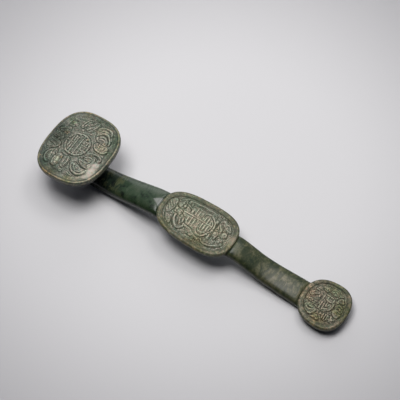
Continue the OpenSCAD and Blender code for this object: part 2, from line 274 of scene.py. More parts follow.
def darkJadeMaterial(jade):
    material, tree, shader = newMaterial("darkJade")
    where = addNode(tree, "ShaderNodeTexCoord").outputs["Object"]
    split = addNode(tree, "ShaderNodeSeparateXYZ", {0: where})
    along, across = split.outputs["X"], split.outputs["Y"]
    waver = sums(tree, "SUBTRACT", noise(tree, where, jade["waver"]), 0.5)
    shifted = sums(tree, "MULTIPLY_ADD", waver, jade["waverBy"], along)
    toGreen = rise(tree, shifted, *jade["neck"])
    toOlive = rise(tree, shifted, *jade["tail"])
    turned = addNode(tree, "ShaderNodeMapping", {
        "Vector": where, "Rotation": jade["streakTurn"], "Scale": jade["streakStretch"],
    })
    streak = noise(tree, turned.outputs[0], jade["streak"])

    # black at the head, green to the middle with a painted sheen towards its far edge, and veins before the
    # middle plaque
    cloud = noise(tree, where, jade["cloud"])
    green = ramp(tree, cloud, jade["greenStops"], (jade["black"], jade["green"], jade["mist"]))
    # painted sheen towards the far edge, broken up by the cloud noise
    mist = sums(tree, "MULTIPLY", rise(tree, across, *jade["sheenToFarEdge"]), cloud)
    tone = mix(tree, toGreen, jade["black"], mix(tree, mist, green, jade["paintedSheen"]))
    vein = ramp(tree, streak, jade["veinStops"], (0.0, 1.0))
    middle, reach = jade["veins"]
    off = sums(tree, "ABSOLUTE", sums(tree, "SUBTRACT", shifted, middle))
    nearby = rise(tree, off, reach, 0.0, "LINEAR")
    tone = mix(tree, sums(tree, "MULTIPLY", vein, nearby, clamp=True), tone, jade["olive"])

    # mottled olive to the tail, and sandy in the middle of its width: the stone's own sand and a painted
    # sheen
    patch = noise(tree, where, jade["patch"])
    mottled = ramp(tree, patch, jade["oliveStops"], (jade["moss"], jade["olive"], jade["brown"]))
    sandy = ramp(tree, patch, jade["sandStops"], (jade["olive"], jade["brown"], jade["sand"]))
    off = sums(tree, "ABSOLUTE", sums(tree, "SUBTRACT", across, jade["paleMiddle"]))
    inner = rise(tree, off, *jade["paleWidth"])
    mottled = mix(tree, sums(tree, "MULTIPLY", rise(tree, shifted, *jade["pale"]), inner), mottled, sandy)
    mossy = ramp(tree, streak, jade["mossStops"], jade["mossShares"])
    mottled = mix(tree, mossy, mottled, jade["moss"])
    tone = mix(tree, toOlive, tone, mottled)

    # painted shade along the edges, and a painted reflection on the paler cut facet
    # painted shade along the near edge
    tone = mix(tree, rise(tree, across, *jade["shade"]), tone, jade["shadeTint"], "MULTIPLY")
    # painted shade along the far edge of the olive stone
    rim = sums(tree, "MULTIPLY", rise(tree, across, *jade["rim"]), toOlive, clamp=True)
    tone = mix(tree, rim, tone, jade["farShadeTint"], "MULTIPLY")
    # painted reflection on the flat cut, broken by the streaks
    cut = addNode(tree, "ShaderNodeAttribute", attribute_name="facet").outputs["Fac"]
    facet = sums(tree, "MULTIPLY", cut, sums(tree, "ADD", streak, jade["facetShare"]), clamp=True)
    tree.links.new(mix(tree, facet, tone, jade["facet"]), shader.inputs["Base Color"])

    dull = between(tree, toOlive, *jade["gloss"])
    rough = sums(tree, "MULTIPLY_ADD", streak, jade["glossStreak"], dull)
    tree.links.new(rough, shader.inputs["Roughness"])
    shader.inputs["IOR"].default_value = jade["ior"]
    shader.inputs["Specular IOR Level"].default_value = jade["shine"]
    height = sums(tree, "MULTIPLY", streak, between(tree, toOlive, *jade["bump"]))
    addBump(tree, shader, height, jade["bumpStrength"], jade["bumpDepth"])
    return material


# Each pale stone has its colours, and spots in mm from the middle of its plaque: place, reach and tint.
# A stain covers the stone and a cloud tints it. Some spots are the stone's own colour, others painted
# highlight, painted reflection and painted shade.
paleJade = {
    "head_plaque": {
        "deep": (0.034, 0.038, 0.030), "ground": (0.094, 0.101, 0.082), "face": (0.150, 0.153, 0.128),
        "worn": (0.320, 0.308, 0.268), "rim": (0.112, 0.103, 0.077), "ochre": (0.270, 0.185, 0.095),
        "moss": (0.052, 0.066, 0.040), "edge": (0.300, 0.240, 0.155), "gloss": 0.26, "shine": 0.28,
        "stainsAndPaintedSheen": [
            # painted reflection in the right cove: the first three spots here; the last is an ochre stain
            ((30, -11), 7, (0.46, 0.41, 0.38)), ((31, -20), 8, (0.50, 0.44, 0.41)),
            ((29, -29), 8, (0.44, 0.39, 0.35)), ((-24.5, 34.5), 3, (0.42, 0.31, 0.16)),
        ],
        "cloudsAndPaintedLight": [
            # painted shade, over the stone's teal on the lower left: the spots on this line and the next two
            ((-32, 4), 22, (0.27, 0.33, 0.29)), ((-38, -6), 12, (0.55, 0.65, 0.58)),
            ((-37, 16), 12, (0.55, 0.65, 0.58)), ((-35, -24), 13, (0.14, 0.27, 0.22)),
            ((-25, -37), 13, (0.14, 0.28, 0.22)), ((-10, -39), 12, (0.20, 0.34, 0.27)),
            # painted reflection of the lamps in the right cove
            ((30, -22), 12, (1.60, 1.50, 1.40)), ((22, -35), 12, (1.50, 1.40, 1.30)),
            # painted highlights on three lobes at the lower left: these two and the first on the next line
            ((-24, -25), 5, (2.00, 1.95, 1.80)), ((-12, -27), 5, (1.90, 1.85, 1.70)),
            ((-3, -35), 4, (1.90, 1.80, 1.60)), ((12, 33), 12, (1.25, 1.16, 1.02)),
            ((25, 10), 11, (1.45, 1.32, 1.16)), ((-24, 10), 5, (2.20, 1.60, 1.30)),
            ((-15, 40), 10, (0.95, 0.98, 0.88)), ((-30, 29), 9, (0.62, 0.82, 0.56)),
            ((4, 45), 16, (0.66, 0.78, 0.70)), ((34, 28), 14, (0.60, 0.80, 0.68)),
            ((37, 8), 11, (0.76, 0.88, 0.76)), ((-14, -48), 18, (1.12, 0.90, 0.62)),
            ((12, -43), 10, (1.30, 1.25, 0.85)), ((-20, 47), 9, (1.30, 1.12, 0.85)),
        ],
    },
    "middle_plaque": {
        "deep": (0.056, 0.058, 0.043), "ground": (0.118, 0.122, 0.095), "face": (0.177, 0.174, 0.146),
        "worn": (0.335, 0.317, 0.274), "rim": (0.120, 0.110, 0.072), "ochre": (0.270, 0.190, 0.105),
        "moss": (0.060, 0.068, 0.036), "edge": (0.290, 0.248, 0.168), "gloss": 0.34, "shine": 0.25,
        # the second spot here is a painted highlight on the right rim
        "stainsAndPaintedSheen": [((16, -36), 7, (0.25, 0.17, 0.08)), ((44, 1), 9, (0.30, 0.25, 0.20))],
        "cloudsAndPaintedLight": [
            ((-18, 22), 20, (0.78, 0.90, 0.80)), ((-36, 6), 14, (1.02, 1.06, 0.98)),
            ((12, -28), 22, (0.80, 0.76, 0.52)), ((-32, -26), 16, (0.80, 0.80, 0.54)),
            # the first spot here is a painted highlight on the right rim
            ((45, -3), 14, (1.55, 1.42, 1.25)), ((34, 28), 16, (0.62, 0.64, 0.48)),
            ((2, -4), 26, (1.45, 1.39, 1.27)), ((-22, 2), 14, (1.30, 1.26, 1.15)),
            ((26, 4), 14, (1.20, 1.14, 1.02)),
        ],
    },
    "tail_plaque": {
        "deep": (0.036, 0.034, 0.026), "ground": (0.104, 0.096, 0.073), "face": (0.170, 0.153, 0.118),
        "worn": (0.370, 0.325, 0.255), "rim": (0.126, 0.107, 0.077), "ochre": (0.270, 0.190, 0.100),
        "moss": (0.060, 0.068, 0.036), "edge": (0.310, 0.255, 0.185), "gloss": 0.34, "shine": 0.25,
        "stainsAndPaintedSheen": [((16, -3), 4, (0.26, 0.24, 0.11)), ((-3, -20), 4, (0.23, 0.21, 0.11))],
        "cloudsAndPaintedLight": [
            # the first spot here is a painted highlight on the inner wall of the left rim
            ((-27, 2), 16, (1.48, 1.27, 1.13)), ((24, 4), 18, (0.60, 0.68, 0.42)),
            ((2, 22), 18, (0.72, 0.85, 0.64)), ((4, -27), 18, (0.85, 0.80, 0.52)),
            ((-14, -12), 12, (0.80, 0.92, 0.80)),
        ],
    },
}

carvedStone = {  # the same for the three of them
    "grain": (380.0, 6.0, 0.72, 0.0),
    "grainShare": 1.9,
    "stoneStops": (0.10, 0.36, 0.60, 0.86),  # from the cuts, with grime and painted shade, to the worn tops, with painted highlight
    "speckle": (230.0, 6.0, 0.75, 0.5),
    "speckleCarve": (-0.17, 0.23),
    "bandStops": (0.42, 0.48, 0.55, 0.68),
    "bandShare": 0.9,  # of the rim's own colours, on the rim
    "waver": (46.0, 4.0, 0.5, 0.0),
    "waverBy": 14,  # mm that the spots waver, all told
    "cloudShare": 0.85,
    "stainShare": 0.7,
    "core": 0.25,  # of a spot's reach, where it is full
    "hue": (300.0, 5.0, 0.7, 0.0),
    "hueStops": (0.40, 0.60),
    "hues": ((0.80, 1.02, 0.90), (1.18, 1.02, 0.96)),
    "hueShare": 0.8,
    "fleck": (210.0, 3.0, 0.6, 0.3),
    "fleckStops": (0.66, 0.72),
    "fleckShares": (0.0, 0.85),
    "matt": (90.0, 4.0, 0.55, 0.0),
    "mattStops": (0.30, 0.70),
    "mattRise": 0.12,
    "ior": 1.5,
    "bumpStrength": 0.30,
    "bumpDepth": 0.5,  # mm
}


def paleJadeMaterial(name, stone, centre):
    material, tree, shader = newMaterial(name)
    where = addNode(tree, "ShaderNodeTexCoord").outputs["Object"]
    # grime and painted shade in the hollows, wear and painted highlight on the tops; it darkens the rim's
    # speckle too
    wearAndShade = addNode(tree, "ShaderNodeAttribute", attribute_name="wearAndShade").outputs["Fac"]
    edge = addNode(tree, "ShaderNodeAttribute", attribute_name="rimBand").outputs["Fac"]
    grain = noise(tree, where, carvedStone["grain"])
    share = carvedStone["grainShare"]
    worn = sums(tree, "ADD", wearAndShade, between(tree, grain, -share / 2, share / 2), clamp=True)
    tones = (stone["deep"], stone["ground"], stone["face"], stone["worn"])
    face = ramp(tree, worn, carvedStone["stoneStops"], tones)
    speckle = noise(tree, where, carvedStone["speckle"])
    speckle = sums(tree, "ADD", between(tree, wearAndShade, *carvedStone["speckleCarve"]), speckle)
    tones = (stone["deep"], stone["moss"], stone["rim"], stone["edge"])
    band = ramp(tree, speckle, carvedStone["bandStops"], tones)
    tone = mix(tree, sums(tree, "MULTIPLY", edge, carvedStone["bandShare"]), face, band)

    # tints of green, olive and beige and stain marks of the stone, with painted shade, painted highlights and
    # painted reflections among them
    waver = noise(tree, where, carvedStone["waver"], "Color")
    waver = vectors(tree, "SUBTRACT", waver, (0.5, 0.5, 0.5))
    waver = vectors(tree, "MULTIPLY", waver, (carvedStone["waverBy"] * mm,) * 3)
    moved = vectors(tree, "ADD", where, waver)
    marks = [(cloud, "MULTIPLY", carvedStone["cloudShare"]) for cloud in stone["cloudsAndPaintedLight"]]
    marks += [(stain, "MIX", carvedStone["stainShare"]) for stain in stone["stainsAndPaintedSheen"]]
    for ((x, y), reach, tint), blend, most in marks:
        spot = ((centre[0] + x) * mm, (centre[1] + y) * mm, centre[2] * mm)
        off = vectors(tree, "DISTANCE", moved, spot, "Value")
        share = rise(tree, off, reach * mm, reach * carvedStone["core"] * mm)
        tone = mix(tree, sums(tree, "MULTIPLY", share, most), tone, tint, blend)

    # a finer play of colour, and ochre flecks
    hue = ramp(tree, noise(tree, where, carvedStone["hue"]), carvedStone["hueStops"], carvedStone["hues"])
    tone = mix(tree, carvedStone["hueShare"], tone, hue, "MULTIPLY")
    fleck = noise(tree, where, carvedStone["fleck"])
    fleck = ramp(tree, fleck, carvedStone["fleckStops"], carvedStone["fleckShares"])
    tree.links.new(mix(tree, fleck, tone, stone["ochre"]), shader.inputs["Base Color"])
    shader.inputs["IOR"].default_value = carvedStone["ior"]
    shader.inputs["Specular IOR Level"].default_value = stone["shine"]
    levels = (stone["gloss"], stone["gloss"] + carvedStone["mattRise"])
    matt = ramp(tree, noise(tree, where, carvedStone["matt"]), carvedStone["mattStops"], levels)
    tree.links.new(matt, shader.inputs["Roughness"])
    addBump(tree, shader, grain, carvedStone["bumpStrength"], carvedStone["bumpDepth"])
    return material


putty = {
    "tones": ((0.022, 0.016, 0.010), (0.040, 0.030, 0.020)),
    "rough": (0.67, 0.83),
    "metal": 0.0,
    "grain": (300.0, 5.0, 0.6, 0.0),
}

copper = {
    "tones": ((0.62, 0.30, 0.17), (0.78, 0.42, 0.26)),
    "rough": (0.24, 0.40),
    "metal": 1.0,
    "grain": (900.0, 5.0, 0.6, 0.0),
}

hiddenFinish = {  # the same for the putty and the copper
    "toneStops": (0.35, 0.65),
    "roughStops": (0.3, 0.7),
    "bumpStrength": 0.3,
    "bumpDepth": 0.3,  # mm
}


def plainMaterial(name, finish):
    material, tree, shader = newMaterial(name)
    where = addNode(tree, "ShaderNodeTexCoord").outputs["Object"]
    grain = noise(tree, where, finish["grain"])
    tone = ramp(tree, grain, hiddenFinish["toneStops"], finish["tones"])
    tree.links.new(tone, shader.inputs["Base Color"])
    rough = ramp(tree, grain, hiddenFinish["roughStops"], finish["rough"])
    tree.links.new(rough, shader.inputs["Roughness"])
    shader.inputs["Metallic"].default_value = finish["metal"]
    addBump(tree, shader, grain, hiddenFinish["bumpStrength"], hiddenFinish["bumpDepth"])
    return material


for word, material in (("bed", plainMaterial("putty", putty)), ("peg", plainMaterial("copper", copper))):
    for name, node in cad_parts.items():
        if word in name:
            node.data.materials.clear()
            node.data.materials.append(material)
print("materials ready")

# the shaft

shaftPiece = {  # mm and degrees
    "merge": 0.01,
    "voxel": 1.0,
    "soften": 0.5,
    "softenTimes": 36,
    "facet": (-56.5, -44.8),  # the small flat cut before the middle plaque, from its tip to the plaque
    "facetUnder": 3.0,  # how far it goes on under the plaque
    "facetTip": (1.5, 3.0),  # length and half width of the tip, where its height is read
    "facetDepth": 2.0,  # what lies deeper than this is left alone
    "facetSlope": 4.6,
    "facetMiddle": -1.2,
    "facetSpread": 0.55,  # how fast it widens
    "facetSides": 0.3,  # how fast the stone rises beside it
    "facetFade": 1.5,  # width of the soft border of its painted reflection
}


def cutFacet(mesh, bar):  # the flat cut beside the seat of the middle plaque
    tip, end = bar["facet"]
    tipLength, tipHalf = bar["facetTip"]
    slope = math.tan(math.radians(bar["facetSlope"]))
    around = [v for v in mesh.vertices if tip < v.co.x / mm < end + bar["facetUnder"]]
    onTip = [v for v in around if v.co.x / mm < tip + tipLength and abs(v.co.y) < tipHalf * mm]
    height = max(v.co.z for v in onTip)
    cut = np.zeros(len(mesh.vertices), np.float32)
    for v in around:
        past = v.co.x - tip * mm
        beside = abs(v.co.y - bar["facetMiddle"] * mm) - bar["facetSpread"] * past
        if v.co.z > height - bar["facetDepth"] * mm:
            v.co.z = min(v.co.z, height + slope * past + bar["facetSides"] * max(beside, 0))
            # where the painted reflection lies, full on the cut and fading at its border
            cut[v.index] = soft(0.5 - beside / (bar["facetFade"] * mm))
    layer = mesh.attributes.new("facet", "FLOAT", "POINT")
    layer.data.foreach_set("value", cut)


def polishedShaft(bar):
    deselect()
    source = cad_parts["shaft"]
    piece = source.copy()
    piece.data = source.data.copy()
    piece.name = "polished_shaft"
    piece.data.name = "polished_shaft"
    bpy.context.scene.collection.objects.link(piece)
    bpy.context.view_layer.objects.active = piece
    piece.select_set(True)
    bpy.ops.object.mode_set(mode="EDIT")
    bpy.ops.mesh.select_all(action="SELECT")
    bpy.ops.mesh.remove_doubles(threshold=bar["merge"] * mm)
    bpy.ops.object.mode_set(mode="OBJECT")
    remesh = piece.modifiers.new("remesh", "REMESH")
    remesh.mode = "VOXEL"
    remesh.voxel_size = bar["voxel"] * mm
    bpy.ops.object.modifier_apply(modifier="remesh")
    soften = piece.modifiers.new("soften", "SMOOTH")
    soften.factor = bar["soften"]
    soften.iterations = bar["softenTimes"]
    bpy.ops.object.modifier_apply(modifier="soften")
    cutFacet(piece.data, bar)
    bpy.ops.object.shade_smooth()
    piece.data.materials.clear()
    piece.data.materials.append(darkJadeMaterial(darkJade))
    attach(piece, "root")
    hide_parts("shaft")
    return piece


shaft = polishedShaft(shaftPiece)
print("shaft ready,", len(shaft.data.polygons), "faces")

# the carved plaques

# Sizes are in mm and tilts in degrees, and places are (along, across) from the middle of the plaque.
# Power squares the oval, taper widens it towards the tail and shift moves its hollow. Past the rim the
# hollow falls by its depth across the wall, and past the groove and the cove the dome rises.
# Bars run across and rungs along, each with its place and its two ends. A ridge or a groove is its width
# and its points, a bead or a pit its place and its size, and a body is the outline of a raised form.
headPlaque = {
    "name": "carved_head", "node": "head_plaque",
    "centre": (-160.375, 0, 52.5), "tilt": -5.0,
    "length": 84.0, "width": 96.9, "power": 2.75, "taper": -0.027,
    "thick": 6.0, "round": 1.4, "rim": 2.6, "depth": 2.0, "wall": 6.0, "cove": 7.0, "dome": 3.5,
    "wornEdge": 0.35, "grooveShade": 0.42, "cells": 310,  # how pale the worn edge is, how dark the grime and painted shade in the groove are
    "shift": (0, 0), "curls": 0.10,  # the height of the small scrolls
    "roundel": (-3.6, 1.4, 16.0, 16.0),  # its middle, half length and half width
    "bars": [
        (-13.0, -4.5, 9.5), (-9.9, -9.5, -3.0), (-9.9, 4.0, 11.0), (-6.8, -12.6, 10.5), (-1.0, -13.0, 14.6),
        (3.0, 5.0, 12.6), (3.0, -9.6, -0.6), (7.2, 5.0, 9.8), (7.2, -6.8, -0.6),
    ],
    "rungs": [(2.6, 1.6, 10.4), (-3.6, 1.6, 8.6), (8.4, 1.6, 8.0), (1.4, -15.0, -9.0)],
    "bodies": [
        [(4.6, 33), (7.4, 36.6), (12, 38.8), (17, 38.8), (21, 37.6), (24, 34.6), (25.6, 31), (27.6, 27),
         (28.6, 22), (28.2, 18.6), (26.4, 18.4), (25.8, 22), (23.6, 25.6), (20.6, 28), (16.6, 28.8),
         (13.4, 27.6), (10.6, 25), (8.6, 21.6), (7.6, 25.4), (5.4, 28.6)],
        [(10.4, 20), (12.6, 24.4), (16, 27.2), (20, 26.6), (23.4, 23.8), (25.2, 20.4), (25.4, 17.4),
         (22, 16.4), (17.6, 16.8), (13.4, 17)],
        [(13, 12.6), (14.4, 15.4), (18.4, 15.6), (23, 15), (27.4, 15.8), (30.6, 14.6), (32, 11),
         (31.4, 7.4), (28.6, 5), (24, 4.2), (19.6, 4.6), (16, 7), (13.6, 9.8)],
        [(13, -5.4), (15, -2), (19, 0.6), (24, 1.9), (29, 1.6), (32.2, -0.6), (32.6, -3.6), (31.2, -6.2),
         (29.2, -6.4), (28.6, -4.2), (27.6, -2.4), (24.6, -1.4), (20.6, -2.4), (17.4, -4.6), (15, -7)],
        [(15.4, -8), (18, -5.6), (22, -4.4), (25.6, -4.6), (27.4, -8), (26.6, -12), (27.6, -15.6),
         (26.6, -18.6), (22.6, -20.2), (18, -20), (14, -18.4), (10.8, -16), (10.2, -12.6), (13, -12.6)],
        [(4.6, -22), (6.6, -20.2), (9, -19.4), (13, -20.8), (17, -22.4), (21.6, -22.4), (25.4, -21.2),
         (25.8, -24.4), (24.2, -28.6), (21.4, -31.4), (16.8, -33), (11.6, -32.4), (7.6, -29.8), (5, -26)],
        [(-19.6, -15.6), (-23.6, -15.2), (-28, -17.8), (-30.6, -21.6), (-31.2, -26.4), (-29.6, -30.6),
         (-26.4, -34), (-22.6, -35), (-20.6, -31.6), (-20.8, -27), (-19.8, -22.6), (-17.8, -18.8)],
        [(-16.4, -18.4), (-12.6, -17.2), (-9.2, -19.2), (-9.4, -24), (-9.6, -29.6), (-11.4, -34),
         (-15.4, -35.4), (-18.8, -33), (-19, -27.6), (-17.8, -22.6)],
        [(-6.6, -18.4), (-2.4, -17), (0.4, -19.2), (1, -23.6), (0.4, -28.6), (-1.4, -32), (-4.6, -32.4),
         (-7, -29.4), (-7.2, -24)],
        [(-15.6, 25), (-15.2, 31), (-13.6, 36.4), (-10.6, 40.2), (-7, 39.4), (-6, 35), (-7.6, 30.6),
         (-9.8, 26.4), (-12.6, 23.8)],
        [(-7.2, 25), (-5.4, 22.8), (-1.6, 23), (1.6, 25.6), (3.8, 30), (4.6, 35.6), (2.4, 39.6), (-2, 40.6),
         (-4.6, 37.6), (-4.2, 32.6), (-5.8, 28.6)],
        [(-36.4, 12), (-33, 16.4), (-28.6, 18.6), (-24.4, 18.8), (-22.6, 15), (-24.4, 11.4), (-28.6, 10.6),
         (-33, 9.4)],
        [(-37.4, 8.4), (-33, 8.6), (-29, 8.4), (-25.6, 5.4), (-23.6, 1.4), (-26, -1.6), (-31, -0.6),
         (-36.4, 0)],
        [(-37.2, -2), (-32, -2.6), (-27, -3.4), (-22.6, -5.4), (-21.4, -9.6), (-24.6, -13.2), (-30, -15.6),
         (-35.2, -16), (-37.4, -9)],
        [(-29.4, 21), (-26, 20.6), (-22, 21.4), (-19.6, 24.6), (-21.4, 28.6), (-25.4, 29.2), (-28.8, 26.6)],
    ],
    "ridges": [
        (2.2, [(5.6, 33), (8, 36), (12, 37.8), (16.6, 37.9), (20.4, 36.8), (22.6, 34.6), (23.6, 32)]),
        (1.8, [(10.6, 32), (13, 33.4), (15, 33)]),
        (2.0, [(13, 29.4), (16, 30.8), (19.6, 30.6), (22.6, 28.8), (25, 25.6), (27, 22), (27.4, 19.4)]),
        (1.6, [(12.6, 18.6), (11.4, 20.4), (11.6, 22.4)]),
        (1.4, [(16, 24.6), (18.6, 25.4), (21.4, 24)]),
        (1.4, [(15, 20.6), (18.6, 21.6), (22.4, 20.4)]),
        (1.8, [(14.4, 11), (16.6, 8), (19.8, 6.2), (24, 5.6), (27.6, 6.2), (30, 8.2), (31, 11)]),
        (1.4, [(15.8, 14), (17.6, 12), (20.6, 10.4)]),
        (2.0, [(13.8, -5.8), (15.4, -3.6), (18, -1.2), (21.4, 0.2), (25, 0.9), (29, 0.4), (31.6, -1.8),
               (31.4, -4.6)]),
        (1.6, [(15.4, -9), (17.6, -7), (20.4, -6.4), (23.6, -6.8)]),
        (1.6, [(13.6, -14.6), (17, -15.2), (20.4, -14.8), (22.8, -12)]),
        (1.5, [(17.6, -10.6), (20.4, -10.8), (23.4, -9.4)]),
        (2.0, [(6.2, -25.6), (8, -28.8), (11.2, -31), (15.4, -31.8), (19.2, -31), (22.4, -28.4),
               (24, -25)]),
        (1.4, [(8.4, -22), (10.4, -25.4), (13.2, -28.2)]),
        (1.4, [(16.8, -28.8), (19.2, -27.6), (21, -25)]),
        (2.0, [(-21, -16.4), (-25, -17.4), (-28.2, -20.4), (-29.6, -24), (-29.4, -28), (-27.4, -31.6),
               (-24.4, -34)]),
        (2.2, [(-24, -22), (-23.4, -26), (-22.4, -30.4)]),
        (2.4, [(-13, -20.6), (-12.8, -25.6), (-12.8, -31)]),
        (1.6, [(-16.8, -24), (-17.4, -28.4), (-16.2, -33)]),
        (1.8, [(-4.6, -20), (-4.8, -28)]),
        (1.4, [(-1.2, -19), (-0.6, -24.6), (-1.8, -29.6)]),
        (2.0, [(-10, 38.6), (-12.4, 35), (-13.6, 30.4), (-14, 26)]),
        (1.6, [(-8.2, 36.6), (-9.6, 32.4), (-10.6, 28)]),
        (2.4, [(-1, 30.6), (-3.6, 27.4), (-5.2, 24.8)]),
        (1.6, [(2.4, 37), (2.2, 33), (0.6, 28.6)]),
        (1.6, [(-2, 38.4), (-2.6, 34.6)]),
        (1.6, [(-17.5, 9.4), (-14.8, 12.6), (-11, 15), (-7.8, 15), (-6.8, 13.2)]),
        (1.5, [(-35, 12), (-31, 14.6), (-26.6, 16)]),
        (1.5, [(-36, 6), (-31.6, 6.4), (-28.4, 4)]),
        (1.5, [(-35.6, 2), (-30.6, 1.6)]),
        (1.5, [(-35.8, -4.6), (-30.4, -5.4), (-25, -7.2)]),
        (1.5, [(-35.6, -8.6), (-30, -9.6), (-26, -11)]),
        (1.6, [(-33.6, -17.4), (-29, -15), (-24.6, -12.6), (-21.6, -9.4)]),
        (1.2, [(6.4, -34.6), (10, -36), (14, -36.4)]),
    ],
    "grooves": [
        (1.2, [(14.6, 27.6), (18, 28.1), (21, 27), (24, 24.4), (26, 21.6), (26.8, 19)]),
        (1.2, [(8.6, 31), (12.6, 35.6), (17.6, 35.6)]),
        (1.2, [(22.4, 18.2), (27.4, 18.2)]),
        (1.1, [(18.4, 12.8), (21.6, 11.8), (24, 13.6)]),
        (1.2, [(22, -1.4), (25, -1.2), (28, -2.2), (28.8, -4.6)]),
        (1.2, [(12.4, -9.4), (14.6, -11.6), (17.4, -12.6), (20.6, -12.4)]),
        (1.2, [(14.4, -20), (17.4, -21.5), (21.4, -21.4), (25.2, -20)]),
        (1.2, [(1.4, -20.6), (3.4, -24), (5, -27)]),
        (1.2, [(-10.2, -23), (-10.2, -31)]),
        (1.2, [(-7.8, -20), (-7.8, -31)]),
        (1.1, [(-26.8, -23.6), (-25.8, -30)]),
        (1.1, [(-19.8, -19.6), (-17.6, -23)]),
        (1.1, [(-11.4, 33.6), (-12, 27)]),
        (1.2, [(-12.4, 12.8), (-9.4, 13.4), (-7.6, 11.8)]),
        (1.2, [(-18.6, 4.4), (-15, 5.2)]),
        (1.2, [(-18.4, 1.2), (-14.8, 0.4)]),
        (1.2, [(-24.4, 16.6), (-24.2, 12)]),
    ],
    "beads": [
        (24.4, 10.6, 2.4), (19.4, 13, 1.5), (29.2, 12.4, 1.6), (11.6, 21, 1.6), (24.6, -16, 2.4),
        (-2.2, -36.2, 2.5), (-13, -20, 2.2), (-5, 33.4, 1.7), (-27.2, 8.8, 2.0), (-28.2, -1.6, 1.7),
        (-23.2, -7, 2.0), (-23.6, 25.4, 2.6), (-9.6, 21.2, 1.9), (-24.8, -19.2, 1.4), (29.6, -4.8, 1.6),
        (9.4, -23, 1.6), (-20, -11.6, 1.5), (2, 21, 1.4),
    ],
    "pits": [
        (4.6, -5.4, 1.2), (-24.2, 10.2, 1.5), (14.6, -26.8, 1.3), (-4, -8.8, 1.1), (-3, -33.4, 1.1),
        (8, 30, 1.2),
    ],
}

